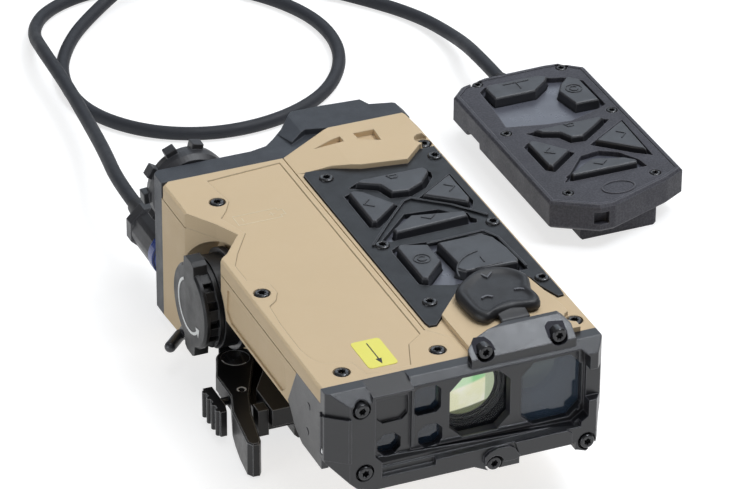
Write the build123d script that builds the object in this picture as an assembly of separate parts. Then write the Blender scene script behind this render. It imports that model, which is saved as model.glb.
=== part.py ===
from build123d import *
from math import atan2, degrees, hypot, pi, radians, sqrt, tan
import os

# A rail-mounted laser speed and range unit with a wired remote keypad.
# Housing coordinates: X right from the left side, Y back from the front joint face, Z up from the
# deck. Every piece is made there and exported about the centre of the rail seat.

# ---- driving dimensions, millimetres ---------------------------------------------------------
body_width = 100.0          # left side to right side
body_height = 42.5          # deck to underside
left_length = 146.5         # front joint face to rear cover, left half
right_length = 157.0        # the same on the right half, which is longer
wall = 2.5                  # housing wall
cover_depth = 5.7           # how far the top covers reach down
seam_from_right = 53.5      # right side back to the seam between the two top covers
seam_cut = 0.45             # bevel along the seams
column_width = 24.0         # deep column at the rear left
column_bottom = -54.5

bezel_depth = 9.0           # bezel front face ahead of the joint face
window_set_back = 4.5       # window face ahead of the joint face
glass_thick = 2.0
shroud_thick = 2.5          # bezel skirt on the left side

battery_radius = 8.5
battery_length = 34.5
barrel_bore = 9.0           # inside of the battery barrel
barrel_wall = 4.5
collar_radius = 16.6
cap_radius = 15.5
cap_wing_radius = 19.0
cap_thick = 7.0
cap_from_rear = 41.5        # rear cover forward to the battery axis
cap_z = -26.0
cap_teeth = 14

knob_x = 15.8
knob_z = -12.8
knob_disc = 12.4
knob_radius = 16.2
knob_tabs = 10

plug_x = 8.6
plug_z = -38.0
plug_radius = 8.6
cable_diameter = 5.3

keypad_thick = 2.7
key_travel = 1.0
key_gap = 0.3               # keycap to mat
key_pocket = 1.2            # keycap to frame
key_screw_sink = 1.2        # keypad screw heads sit flush in the frame
key_stem = 2.0
remote_height = 19.0        # floor to the remote's rim
remote_shell_depth = 11.5
remote_x = 180.0
remote_y = 188.7
remote_half_width = 28.3
remote_half_length = 54.0

rail_width = 21.2           # accessory rail over its edges
rail_top = 15.7             # flat top of the rail
rail_edge_drop = 2.75       # rail top down to its widest line
rail_play = 0.15
rail_axis_x = 30.0
mount_y = 88.0              # middle of the rail clamp
mount_length = 58.0
seat_z = -52.0
jaw_depth = 8.0             # rail seat down to the jaw's foot
lever_pivot_x = 7.9
lever_pivot_y = 97.0
lever_thick = 6.0
lever_open_shift = 2.0      # jaw travel when the lever opens

hinge_gap = 0.05            # radial running clearance
seat_gap = 0.05             # between faces that slide
screw_radius = 1.4
screw_head = 2.75
screw_head_high = 1.7
screw_reach = 7.0
screw_play = 0.06

# ---- worked out from them --------------------------------------------------------------------
seam_x = body_width - seam_from_right
cap_y = left_length - cap_from_rear
floor_z = seat_z - jaw_depth
rim_z = floor_z + remote_height
barrel_outer = barrel_bore + barrel_wall
pocket_x = 11.7
lever_top = cap_z - collar_radius - 3.4
lever_bottom = lever_top - lever_thick


# ---- shapes ----------------------------------------------------------------------------------
def outline(points, corner=0.0):
    face = Polygon(*points, align=None)
    return fillet(face.vertices(), corner) if corner else face


def prism_x(points, x0, x1, corner=0.0):
    """Points are (y, z)."""
    plane = Plane(origin=(x0, 0, 0), x_dir=(0, 1, 0), z_dir=(1, 0, 0))
    return extrude(plane * outline(points, corner), x1 - x0, dir=(1, 0, 0))


def prism_y(points, y0, y1, corner=0.0):
    """Points are (x, z)."""
    plane = Plane(origin=(0, y1, 0), x_dir=(1, 0, 0), z_dir=(0, -1, 0))
    return extrude(plane * outline(points, corner), y1 - y0, dir=(0, -1, 0))


def prism_z(points, z0, z1, corner=0.0):
    """Points are (x, y)."""
    return extrude(Plane(origin=(0, 0, z0)) * outline(points, corner), z1 - z0, dir=(0, 0, 1))


def block(x0, x1, y0, y1, z0, z1):
    return Pos((x0 + x1) / 2, (y0 + y1) / 2, (z0 + z1) / 2) * Box(x1 - x0, y1 - y0, z1 - z0)


def rod_x(y, z, r, x0, x1):
    return extrude(Plane(origin=(x0, y, z), z_dir=(1, 0, 0)) * Circle(r), x1 - x0)


def rod_y(x, z, r, y0, y1):
    return extrude(Plane(origin=(x, y0, z), z_dir=(0, 1, 0)) * Circle(r), y1 - y0)


def rod_z(x, y, r, z0, z1):
    return extrude(Plane(origin=(x, y, z0)) * Circle(r), z1 - z0)


def spun(profile, axis_plane):
    """A solid of revolution. Profile points are (radius, height) along the plane's normal."""
    face = Plane.XZ * Polygon(*profile, align=None)
    return axis_plane.location * revolve(face, Axis.Z)


def bolt(x, y, z, axis, radius, low, high, sides=8):
    """A many-sided rod along an axis, from low to high measured from x, y, z."""
    place = Plane(origin=(x, y, z), z_dir=axis).location * Pos(0, 0, low)
    return place * extrude(RegularPolygon(radius, sides), high - low)


def screw(x, y, z, axis, reach=screw_reach, head=screw_head, high=screw_head_high):
    """A screw whose seat is at x, y, z, with its head out along the axis."""
    return bolt(x, y, z, axis, screw_radius, -reach, 0.1) + bolt(x, y, z, axis, head, 0, high, 16)


def screw_hole(x, y, z, axis, reach=screw_reach, sink=0.0, head=screw_head):
    """Clearance hole for the same screw, with a counterbore where the head is sunk."""
    hole = bolt(x, y, z, axis, screw_radius + screw_play, -reach - screw_play, sink + 0.1)
    if sink:
        hole += bolt(x, y, z, axis, head + 0.35, 0, sink + 4, 16)
    return hole


parts = {}
UP = (0, 0, 1)
DOWN = (0, 0, -1)
FRONT = (0, -1, 0)
BACK = (0, 1, 0)


# ---- housing ---------------------------------------------------------------------------------
def plan(grow=0.0):
    """The housing seen from above, front joint face to rear cover."""
    return [(-grow, 0), (body_width + grow, 0), (body_width + grow, right_length),
            (seam_x + 21.5, right_length), (seam_x, left_length), (-grow, left_length)]


cover_left = [(13.3, left_length - 20), (4.8, 63.5), (10.4, 6.8), (seam_x - 1.2, 7.4)]
cover_right = [(body_width - 4.6, 7.0), (body_width - 3.2, left_length - 9.5)]
keypad_screw_places = [(body_width - dx, left_length - dy)
                       for dy in (20.4, 70.7, 111.4) for dx in (45.4, 3.6)]
board_z = -35.0
board_posts = [(body_width - dx, y) for dx in (38.0, 7.0) for y in (54.0, 132.0)]
rear_screw_seat = 5.0
rear_screw_places = [(body_width - 5.2, -9.5, right_length), (body_width - 5.4, -body_height + 5.2, right_length),
                     (30.0, -body_height + 5.0, left_length), (4.6, column_bottom + 4.6, left_length),
                     (19.0, column_bottom + 4.6, left_length)]
mount_screw_places = [(rail_axis_x, mount_y - 22.0), (rail_axis_x, cap_y)]
mount_screw_sink = 2.6
mount_screw_reach = 7.0
notch = [(-6, left_length - 22.5), (0, left_length - 22.5), (7.3, left_length - 34.2),
         (pocket_x, left_length - 43.5), (3.6, left_length - 54.1), (0, left_length - 57), (-6, left_length - 57)]
shroud_edge = [(-1, -cover_depth), (20.7, -cover_depth), (28.5, -21), (25.5, -24), (22.3, -28),
               (16, -31), (-1, -31)]


def lower_housing():
    h, w = body_height, body_width
    section = [(0, -cover_depth), (0, -22), (3, -26), (10, -37), (16, -h), (w - 3, -h),
               (w, -h + 3), (w, -cover_depth)]
    body = prism_z(plan(), -h - 1, 0) & prism_y(section, 0, right_length)
    y1 = left_length
    column = [(y1 - 29, -cover_depth), (y1, -cover_depth), (y1, column_bottom),
              (y1 - 15, column_bottom + 1), (y1 - 29, cap_z - 21)]
    body += prism_x(column, 0, column_width)
    body += rod_x(cap_y, cap_z, collar_radius + 2.4, pocket_x, 50)
    inner = [(12, 1), (12, -33), (17, -h + wall), (w - wall, -h + wall), (w - wall, 1)]
    room = prism_y(inner, -1, right_length + 1)
    room -= rod_x(cap_y, cap_z, collar_radius + 2.4, pocket_x, 50)
    body -= room
    body -= prism_z(notch, cap_z, 1)
    body -= rod_x(cap_y, cap_z, collar_radius + 3.9, -5, pocket_x)
    body -= prism_x(shroud_edge, -1, shroud_thick)
    body -= rod_x(cap_y, cap_z, barrel_outer, 0, 52)
    panel = [(32, -8.5), (83.5, -8.5), (84.5, -18), (80.5, -20.8), (34, -20.8), (30, -17.5)]
    body -= prism_x(panel, -0.1, 0.8, 1.2)
    body -= prism_x([(-1, -cover_depth - seam_cut), (left_length + 1, -cover_depth - seam_cut),
                     (left_length + 1, 0), (-1, 0)], -1, seam_cut)
    body += block(12, w - wall, 3, 11, -cover_depth - 2.6, -cover_depth)
    for x, y in cover_left[:3] + cover_right:
        body += rod_z(x, y, 3.4, -15, -cover_depth) & prism_y(section, 0, right_length)
    for x, y in cover_left + cover_right:
        body -= screw_hole(x, y, -1.0, UP, 8)
    for x, y in board_posts:
        body += rod_z(x, y, 2.2, -h + 1, board_z)
    for x, z, joint_y in rear_screw_places:
        body += rod_y(x, z, 3.3, joint_y - 12, joint_y)
        body -= screw_hole(x, joint_y + rear_screw_seat, z, BACK, 12)
    for x, y in mount_screw_places:
        body += rod_z(x, y, 4.2, -h, -h + 9)
        body -= rod_x(cap_y, cap_z, barrel_outer, 0, 52)
        body -= screw_hole(x, y, seat_z + mount_screw_sink, DOWN, mount_screw_reach)
    return body


def left_cover():
    y1 = left_length
    edge = [(0, 0), (seam_x + 6.9, 0), (seam_x + 6.9, 12.1), (seam_x, 20.5), (seam_x, y1), (1.5, y1),
            (0, y1 - 1.5)]
    cover = prism_z(edge, -cover_depth, 0)
    cover = chamfer(cover.edges().filter_by(Plane.XY).group_by(Axis.Z)[-1].filter_by(
        lambda e: e.center().X < 0.8), 0.8)
    cover -= prism_y([(seam_x - seam_cut, 0.1), (seam_x + 0.1, 0.1), (seam_x + 0.1, -0.8), (seam_x, -0.8)],
                     20.5, y1)
    field = [(3.1, 25.2), (3.1, 42.3), (4.0, 54.6), (7.4, 57.4), (9.8, 62), (9.6, 68), (6.6, 71.8), (3.1, 73.0),
             (3.1, 84), (6.8, y1 - 55.4), (14.4, y1 - 43.6), (10.4, y1 - 31), (14.0, y1 - 26.6), (17.2, y1 - 21),
             (16.2, y1 - 13.6), (15.4, y1 - 4.8), (seam_x - 2.4, y1 - 2.4), (seam_x - 2.4, 19), (38, 14.4),
             (33.4, 2.2), (17.6, 2.2), (16.0, 11.2), (6.4, 14.4), (4.2, 18.8)]
    cover -= prism_z(field, -0.3, 0.1)
    cover -= prism_z([(12.5, wall), (seam_x - wall, wall), (seam_x - wall, y1 - wall), (12.5, y1 - wall)],
                     -cover_depth - 1, -wall)
    cover -= prism_z(notch, -cover_depth - 1, 1)
    for x, y in cover_left:
        cover += rod_z(x, y, 4.2, -cover_depth, -1.0) & prism_z(edge, -cover_depth, 0)
        cover -= screw_hole(x, y, -1.0, UP, 8, sink=1.0)
    return cover


keypad_edge = [(-52.0, 24.0), (-51.5, 21.5), (-49.0, 21.3), (-33.4, 38.6), (-30.0, 41.0), (-9.2, 41.0),
               (-6.8, 36.6), (-6.2, 31.0), (-3.4, 22.5), (-1.2, 22.8), (-0.9, 27), (-0.9, left_length - 13.5),
               (-6.5, left_length - 13.5), (-14.5, left_length - 21.5), (-31.5, left_length - 18.8),
               (-41, left_length - 14.5), (-50.5, left_length - 13.5), (-52.0, left_length - 15.5)]
keypad_edge = [(body_width + x, y) for x, y in keypad_edge]
keypad_top = 0.7
mat_top = -1.3


def grown(points, by):
    return offset(Polygon(*points, align=None), amount=by, kind=Kind.INTERSECTION)


def slab(points, by, z0, z1):
    return extrude(Plane(origin=(0, 0, z0)) * grown(points, by), z1 - z0, dir=(0, 0, 1))


def right_deck():
    w, y1, y2 = body_width, left_length, right_length
    edge = [(seam_x, y1), (seam_x, 20.5), (seam_x + 6.9, 12.1), (seam_x + 6.9, 0), (w, 0),
            (w, y2 - 8), (w - 3, y2), (seam_x + 21.5, y2)]
    deck = prism_z(edge, -cover_depth, 0)
    rise = prism_y([(seam_x, -1), (seam_x, 0), (seam_x + 19, 2.4), (w - 2.4, 2.4), (w, 0), (w, -1)], 0, y2)
    rear = [(seam_x, y1), (seam_x, y1 - 12.5), (w - 31.5, y1 - 18.5), (w - 14.5, y1 - 21.2),
            (w - 3.5, y1 - 11), (w, y1 - 5), (w, y2 - 8), (w - 3, y2), (seam_x + 21.5, y2)]
    deck += prism_z(rear, -1, 3) & rise
    front = [(w - 45.5, 0), (w - 45.5, 25.5), (w - 35.5, 36.0), (w - 8.5, 36.0), (w - 5.4, 15),
             (w - 5.6, 0)]
    deck += prism_z(front, -1, 1.8)
    deck -= slab(keypad_edge, 0.25, keypad_top - keypad_thick, 3)
    deck -= slab(mat_edge, 0.1, -4.1, 1)
    for x, y in cover_right:
        deck += rod_z(x, y, 3.9, -cover_depth, -1) & prism_z(edge, -cover_depth, 0)
        deck -= screw_hole(x, y, -1.0, UP, 8, sink=1.0)
        deck -= bolt(x, y, 0, UP, screw_head + 0.8, 0.01, 4, 16)
    tri = [(w - 42.2, y1 - 0.5), (w - 30.5, y1 + 3.0), (w - 30.5, y1 - 0.8), (w - 34, y1 - 1.2)]
    deck -= prism_z(tri, 0.2, 4)
    deck -= prism_z([(w - 25.3, y1 + 3.2), (w - 17.2, y1 + 3.2), (w - 17.8, y1 - 5), (w - 25.0, y1 - 2)],
                    0.2, 4)
    for x, y in keypad_screw_places:
        deck -= bolt(x, y, 0, UP, screw_radius + 0.3, -6, 1)
    deck -= rod_z(port_x, port_y, port_radius, -6, 3)
    return deck


# ---- keypad on the deck ----------------------------------------------------------------------
def from_right(points):
    return [(body_width + x, left_length + y) for x, y in points]


main_keys = {
    "zoom_key": from_right([(-38.6, -30.0), (-36.0, -28.4), (-12.0, -28.4), (-10.8, -30.6), (-11.4, -33.0),
                            (-16.2, -38.8), (-22.8, -42.2), (-29.2, -41.0), (-31.0, -34.6)]),
    "left_key": from_right([(-43.4, -35.4), (-41.2, -34.6), (-38.2, -36.4), (-30.6, -48.6), (-41.8, -57.8),
                            (-43.6, -57.0)]),
    "right_key": from_right([(-5.0, -36.2), (-5.0, -54.2), (-6.8, -57.4), (-20.0, -46.4)]),
    "range_key": from_right([(-39.0, -64.4), (-29.4, -57.8), (-10.4, -62.2), (-10.6, -66.0), (-38.8, -67.4)]),
    "menu_key": from_right([(-42.8, -76.8), (-41.2, -74.8), (-31.4, -78.4), (-31.6, -90.6), (-40.8, -100.0),
                            (-42.8, -98.6)]),
    "power_key": from_right([(-28.6, -78.6), (-11.5, -78.6), (-8.6, -82.4), (-7.0, -90.5), (-6.6, -99.0),
                             (-8.0, -101.4), (-27.0, -100.2), (-29.6, -97.0), (-27.8, -94.0)]),
}
key_arch = from_right([(-44.0, -67.4), (-30.0, -53.8), (-17.6, -55.2), (-7.8, -66.2), (-8.6, -68.6), (-42.0, -69.4)])
key_field = from_right([(-43.8, -75.0), (-40.6, -73.0), (-9.8, -76.4), (-5.4, -81.0), (-5.4, -104.0),
                        (-33.5, -104.0), (-43.8, -99.4)])
mat_edge = from_right([(-47.5, -26.2), (-3.3, -26.2), (-3.3, -104.6), (-34.0, -104.6), (-47.5, -102.5)])


def key(points, base, top):
    """A keycap with steep sides, a bevelled top and a stem below."""
    cap = loft([Plane(origin=(0, 0, base)) * Polygon(*points, align=None),
                Plane(origin=(0, 0, top - 0.6)) * grown(points, -0.3)])
    cap += loft([Plane(origin=(0, 0, top - 0.6)) * grown(points, -0.3),
                 Plane(origin=(0, 0, top)) * grown(points, -0.8)])
    middle = Polygon(*points, align=None).center()
    return cap + rod_z(middle.X, middle.Y, key_stem, base - 1.2 * key_travel, base + 0.2)


def keypad(prefix, keys, edge, openings, mat, places, top, thick, mat_face, mat_under, stand, head):
    """Frame, mat, keys and screws of one keypad."""
    well = mat_face - key_travel - 0.4
    frame = prism_z(edge, top - thick, top)
    frame -= slab(mat, 0.1, top - thick - 1, mat_face)
    for points in openings:
        frame -= slab(points, 0.0, top - thick - 1, top + 1)
    mat_solid = slab(mat, 0.0, mat_under, mat_face)
    for name, points in keys.items():
        frame -= slab(points, key_pocket, top - thick - 1, top + 1)
        parts[name] = key(points, mat_face - 0.3, top + stand)
        middle = Polygon(*points, align=None).center()
        mat_solid -= slab(points, key_gap, well, mat_face + 1)
        mat_solid -= rod_z(middle.X, middle.Y, key_stem + 0.2, mat_under - 1, mat_face)
    for x, y in places:
        frame += bolt(x, y, top, UP, head + 0.7, -thick, 0, 16) & prism_z(edge, top - thick, top)
        frame -= bolt(x, y, top, UP, screw_radius + screw_play, -thick - 1, 1)
        frame -= bolt(x, y, top, UP, head + 0.1, -key_screw_sink, 1, 16)
        mat_solid -= bolt(x, y, top, UP, head + 0.9, mat_under - top - 1, 1, 16)
    parts[prefix + "_frame"] = frame
    parts[prefix + "_mat"] = mat_solid
    parts[prefix + "_screws"] = [screw(x, y, top - key_screw_sink, UP, 4.0, head, key_screw_sink)
                                 for x, y in places]


# ---- port under the rubber cover -------------------------------------------------------------
port_x = body_width - 22.0
port_y = 29.5
port_radius = 7.0
port_hinge_y = 11.0
port_hinge_z = 2.9
strap_x = 74.6
strap_half = 4.6

# ---- front bezel and windows -----------------------------------------------------------------
def cut_corners(x0, x1, z0, z1, cut):
    """An eight-sided window outline."""
    return [(x0 + cut, z1), (x1 - cut, z1), (x1, z1 - cut), (x1, z0 + cut), (x1 - cut, z0),
            (x0 + cut, z0), (x0, z0 + cut), (x0, z1 - cut)]


right_window = cut_corners(body_width - 29.0, body_width - 6.8, -30.0, -5.4, 4.5)
camera_opening = cut_corners(body_width - 55.3, body_width - 33.1, -28.2, -5.2, 4.5)
sensor_opening = cut_corners(31.3, 41.6, -16.2, -5.6, 1.8)
pointer_openings = [cut_corners(18.6, 27.0, -28.6, -20.6, 2.2), cut_corners(33.4, 42.2, -29.2, -20.6, 2.2)]
blank_recess = [(18.4, -6.8), (29.5, -6.8), (29.5, -13.8), (27.3, -16.0), (20.4, -16.0), (18.4, -14.0)]
bezel_screw_places = [(11.0, -6.0), (12.3, -30.8), (body_width - 42.8, 3.4), (body_width - 15.9, 3.6),
                      (body_width - 6.3, -38.3), (body_width - 40.8, -38.4)]
boss_front = 6.2
boss_seat = 2.4             # head seat of the two boss screws, ahead of the joint face
low_seat = 6.6              # the same for the other four
bezel_head = 2.6
bezel_head_high = 3.2
guard_top = -31.4


def grown_xz(points, by, y0, y1):
    face = Plane(origin=(0, y1, 0), x_dir=(1, 0, 0), z_dir=(0, -1, 0)) * grown(points, by)
    return extrude(face, y1 - y0, dir=(0, -1, 0))


def front_bezel():
    w, h, d = body_width, body_height, bezel_depth
    face = [(0, 0), (0, -27), (9.5, 6 - h), (16, 4 - h), (w - 48, 4 - h), (w - 43, 1.5 - h),
            (w - 10, 1.5 - h), (w - 6.5, 0.2 - h), (w - 2, 4 - h), (w - 1.2, -30), (w, -27), (w, 0)]
    bezel = prism_y(face, -d, 0)
    slope = prism_x([(-d - 1, -4.8), (-4.5, 0), (-4.5, 1), (-d - 1, 1)], -1, w + 1)
    bezel -= slope - block(15.0, 29.8, -d - 2, 1, -9, 2)
    bezel -= prism_x([(-d - 1, -2.2), (-0.5, 0), (-0.5, 1), (-d - 1, 1)], 14.5, 29.8)
    bezel -= prism_z([(-1, -d - 1), (6.8, -d - 1), (6.8, -d), (0, -3.5), (-1, -3.5)], -h - 2, 1)
    bezel -= prism_z([(w + 1, -d - 1), (w - 3, -d - 1), (w - 3, -d), (w, -5), (w + 1, -5)], -h - 2, 1)
    plan_view = [(w - 48.2, -boss_front), (w - 48.2, -2.5), (w - 45, -0.1), (w - 33, 3.7),
                 (w - 11, 3.7), (w - 10, 0), (w - 10, -boss_front)]
    boss = prism_z(plan_view, 1.85, 7.6) & prism_y(
        [(w - 48.2, 0), (w - 48.2, 4), (w - 44.5, 7.6), (w - 13, 7.6), (w - 10, 5), (w - 10, 0)], -9, 9)
    boss = boss & prism_x([(-boss_front, 1), (-boss_front, 1.6), (1.8, 7.6), (5, 7.6), (5, 1)], 40, w)
    boss += prism_z([(x, min(y, 0)) for x, y in plan_view[:3]] + [(w - 10, 0), (w - 10, -boss_front)],
                    -3, 1.9)
    bezel += boss
    pocket = [(16, -2.6), (16, -25.5), (18.5, -28.3), (w - 10.5, -31.8), (w - 5.8, -28.5), (w - 5.8, -5),
              (w - 8.5, -2.6)]
    bezel -= prism_y(pocket, -d - 3, -window_set_back)
    rim = [(30.4, -1.5), (w - 9.5, -1.5), (w - 7.6, -4), (w - 7.6, -27), (w - 11.5, -29.4), (30.4, -28.6)]
    bezel += prism_y(rim, -window_set_back - 1.2, -window_set_back) - grown_xz(rim, -1.1, -d, 0)
    ledge = [(-d - 2, guard_top - 1.2), (-6.4, guard_top), (-6.4, -30.2), (-4.6, -27.6), (-d - 2, -25)]
    bezel -= prism_x(ledge, 18.5, w - 8.5)
    bezel -= prism_x([(-d - 2, -34.6), (-7.2, -33.6), (-7.2, -30), (-d - 2, -30)], 18.5, 38.0)
    hump = [(55.4, -37.8), (55.4, -35), (57.2, -33.4), (60, -32.4), (64.5, -32.4), (66.4, -33.6), (68.6, -37.4),
            (66.4, -38.4)]
    bezel += prism_y(hump, -d - 1.3, -7)
    bezel -= prism_x([(-d - 2, 4.4 - h), (-d, 4.4 - h), (-5, 1.2 - h), (-5, -h - 1), (-d - 2, -h - 1)],
                     68.7, w - 10.5)
    bezel += prism_y([(68.6, 4.6 - h), (66.8, -32.0), (w - 14, -32.0), (w - 12, -33.6), (w - 12, 4.6 - h)],
                     -d - 0.7, -d + 0.2)
    bezel -= block(w - 6.6, w + 1, -d - 1, -5.8, -22.4, -10.2)
    for points in [right_window, camera_opening, sensor_opening] + pointer_openings:
        bezel -= grown_xz(points, 0, -d, 1)
        bezel -= grown_xz(points, 0.9, -glass_thick, 1)
    bezel -= prism_y(blank_recess, -d, -window_set_back + 1.2)
    bezel += prism_x(shroud_edge, 0, shroud_thick)
    bezel -= block(strap_x - strap_half - 0.4, strap_x + strap_half + 0.4, -2.0, 5, 1.0, 4.3)
    for x, z, seat, reach in bezel_screws:
        bezel -= screw_hole(x, -seat, z, FRONT, reach, sink=0.01, head=bezel_head + 0.1)
        bezel -= bolt(x, -seat, z, FRONT, bezel_head + 0.75, 0, 12, 16)
    return bezel


bezel_screws = [(x, z, boss_seat if z > 0 else low_seat, (2.6 if x < 70 else 4.8) if z > 0 else 5.8)
                for x, z in bezel_screw_places]


parts["front_bezel"] = front_bezel()
parts["bezel_screws"] = [screw(x, -seat, z, FRONT, reach - 0.1, bezel_head, bezel_head_high)
                         for x, z, seat, reach in bezel_screws]
parts["camera_window"] = grown_xz(camera_opening, 0.85, -glass_thick, 0)
parts["receiver_window"] = grown_xz(right_window, 0.85, -glass_thick, 0)
parts["small_windows"] = [grown_xz(points, 0.85, -glass_thick, 0)
                          for points in [sensor_opening] + pointer_openings]

# ---- optics behind the windows ---------------------------------------------------------------
camera_axis = (body_width - 44.2, -17.6)
receiver_axis = (body_width - 17.9, -17.8)
pointer_axes = [(22.8, -24.6), (37.8, -24.9)]
sensor_axis = (36.4, -11.6)
barrel_radius = 10.8
lens_radius = 9.6
barrel_front = 11.4
bench_span = (14.0, 42.0)


def optic_barrel(axis, length):
    x, z = axis
    barrel = rod_y(x, z, barrel_radius, barrel_front, barrel_front + length)
    barrel -= rod_y(x, z, lens_radius, barrel_front - 1, barrel_front + 6)
    barrel -= rod_y(x, z, lens_radius - 1.4, barrel_front - 1, barrel_front + length - 4)
    return barrel


def lens(axis):
    """A biconvex lens against the step in the barrel."""
    x, z = axis
    edge, bulge = 2.2, 1.5
    ball = (lens_radius ** 2 + bulge ** 2) / (2 * bulge)
    rear_edge = barrel_front + 6 - bulge
    blank = rod_y(x, z, lens_radius, rear_edge - edge - bulge, rear_edge + bulge)
    blank = blank & Pos(x, rear_edge - edge - bulge + ball, z) * Sphere(ball)
    return blank & Pos(x, rear_edge + bulge - ball, z) * Sphere(ball)


def optical_bench():
    x0, x1 = 17.6, body_width - wall - 0.3
    y0, y1 = bench_span
    bench = block(x0, x1, y0, y1, -body_height + wall, -17.5)
    bench += block(x0, 43.6, y0, y1, -18, -11.6)
    for x, z in (camera_axis, receiver_axis):
        bench -= rod_y(x, z, barrel_radius, y0 - 1, y1 + 1)
    for x, z in pointer_axes:
        bench -= rod_y(x, z, 3.8, y0 - 1, y1 + 1)
    bench -= rod_y(sensor_axis[0], sensor_axis[1], 4.2, y0 - 1, y1 + 1)
    return bench


parts["optic_barrels"] = [optic_barrel(camera_axis, 36), optic_barrel(receiver_axis, 30)]
parts["objective_lenses"] = [lens(camera_axis), lens(receiver_axis)]
parts["pointer_lasers"] = [rod_y(x, z, 3.8, 3, 36) for x, z in pointer_axes]
parts["sensor_module"] = rod_y(sensor_axis[0], sensor_axis[1], 4.2, 12, 30)
parts["optical_bench"] = optical_bench()


def circuit_board():
    x0, x1 = body_width - 43, body_width - 3.5
    board = block(x0, x1, 50, 136, board_z, board_z + 1.6)
    for cx, cy, sx, sy, high in ((-24, 74, 14, 14, 2.0), (-24, 100, 18, 12, 2.4), (-12, 120, 9, 9, 1.6),
                                 (-33, 120, 8, 14, 3.2), (-12, 60, 8, 8, 5.0)):
        x = body_width + cx
        board += block(x - sx / 2, x + sx / 2, cy - sy / 2, cy + sy / 2, board_z + 1.5, board_z + 1.6 + high)
    return board


# ---- battery compartment ---------------------------------------------------------------------
collar_face = 1.2
mouth_radius = 11.0
mouth_end = 9.2
tube_end = 50.0
cap_face = collar_face - cap_thick - 0.2
oring_x = (6.3, 8.1)


def about_cap(shape):
    return Plane(origin=(0, cap_y, cap_z), x_dir=(0, 1, 0), z_dir=(1, 0, 0)).location * shape


def battery_tube():
    tube = rod_x(cap_y, cap_z, collar_radius, collar_face, pocket_x)
    tube += rod_x(cap_y, cap_z, barrel_outer, pocket_x, tube_end)
    tube -= rod_x(cap_y, cap_z, mouth_radius, 0, mouth_end)
    tube -= rod_x(cap_y, cap_z, barrel_bore, 0, tube_end - 3)
    return tube


def battery_cap():
    x1 = collar_face - 0.2
    spigot = mouth_radius - hinge_gap
    cap = rod_x(cap_y, cap_z, cap_radius, cap_face, cap_face + 2)
    cap += rod_x(cap_y, cap_z, cap_radius - 2.8, cap_face, x1)
    cap += rod_x(cap_y, cap_z, cap_radius + 0.4, x1 - 1.6, x1)
    cap += rod_x(cap_y, cap_z, spigot, x1, mouth_end - 0.4)
    cap = chamfer(cap.faces().sort_by(Axis.X)[0].edges(), 0.8)
    tooth = Pos(cap_radius - 1.9, 0, 3.5) * Box(3.0, 3.6, 5.0)
    for n in range(cap_teeth):
        cap += about_cap(Pos(0, 0, cap_face) * Rot(0, 0, (n + 0.5) * 360 / cap_teeth) * tooth)
    wing = extrude(Polygon((-5.2, 12), (5.2, 12), (4.4, cap_wing_radius - 1), (2.6, cap_wing_radius),
                           (-2.6, cap_wing_radius), (-4.4, cap_wing_radius - 1), align=None), 5.2)
    for turn in (0, 180):
        cap += about_cap(Pos(0, 0, cap_face) * Rot(0, 0, turn) * wing)
    cap -= rod_x(cap_y, cap_z, spigot + 1, *oring_x) - rod_x(cap_y, cap_z, 9.8, *oring_x)
    return cap


def cap_oring():
    x0, x1 = oring_x[0] + 0.05, oring_x[1] - 0.05
    return rod_x(cap_y, cap_z, mouth_radius - 0.06, x0, x1) - rod_x(cap_y, cap_z, 9.85, x0, x1)


def cap_tether():
    """A strap ring round the collar, bent out to a finger tab under the cap."""
    thick, out = 1.05, 2.4
    ring = Cylinder(collar_radius + 1.7, out) - Cylinder(collar_radius, out + 1)
    ring = Pos(0, 0, 8.6) * ring
    far = hypot(*tab_root)
    clear = cap_wing_radius + 0.25
    strap = Pos((collar_radius + 0.8 + clear + thick) / 2, 0, 8.6) * Box(
        clear + thick - collar_radius - 0.8, 4.2, out)
    strap += Pos(clear + thick / 2, 0, (8.6 + out / 2 - 2.2) / 2) * Box(thick, 4.2, 8.6 + out / 2 + 2.2)
    strap += Pos((clear + far) / 2, 0, -1.25) * Box(far - clear, 4.2, 1.9)
    ring += Rot(0, 0, degrees(atan2(tab_root[1], tab_root[0]))) * strap
    tether = about_cap(ring)
    start = Vector(-2.45, cap_y + tab_root[0], cap_z + tab_root[1])
    tip = Vector(-8.4, cap_y + tab_root[0] - 6.0, cap_z + tab_root[1])
    tab = Plane(origin=start, z_dir=tip - start).location * (
        Pos(0, 0, (tip - start).length / 2) * Cylinder(2.1, (tip - start).length))
    return tether + tab + Pos(*tip) * Sphere(2.1) + Pos(*start) * Sphere(2.1)


tab_root = (19.0, -23.6)
cell_start = mouth_end + 0.8
parts["battery_tube"] = battery_tube()
parts["battery_cap"] = battery_cap()
parts["cap_oring"] = cap_oring()
parts["cap_tether"] = cap_tether()
parts["battery_cell"] = (rod_x(cap_y, cap_z, battery_radius, cell_start + 1, cell_start + battery_length)
                         + rod_x(cap_y, cap_z, 3.0, cell_start, cell_start + 1.5))
parts["battery_spring"] = spun([(2.2, 0), (4.2, 0), (5.8, tube_end - 3 - cell_start - battery_length),
                                (3.8, tube_end - 3 - cell_start - battery_length)],
                               Plane(origin=(cell_start + battery_length, cap_y, cap_z), z_dir=(1, 0, 0)))


# ---- rear cover, selector and cable connector ------------------------------------------------
rear_left_y = left_length + 9.0
rear_right_y = right_length + 16.0
display = (body_width - 39.0, body_width - 15.5, -26.5, -7.5)


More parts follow.
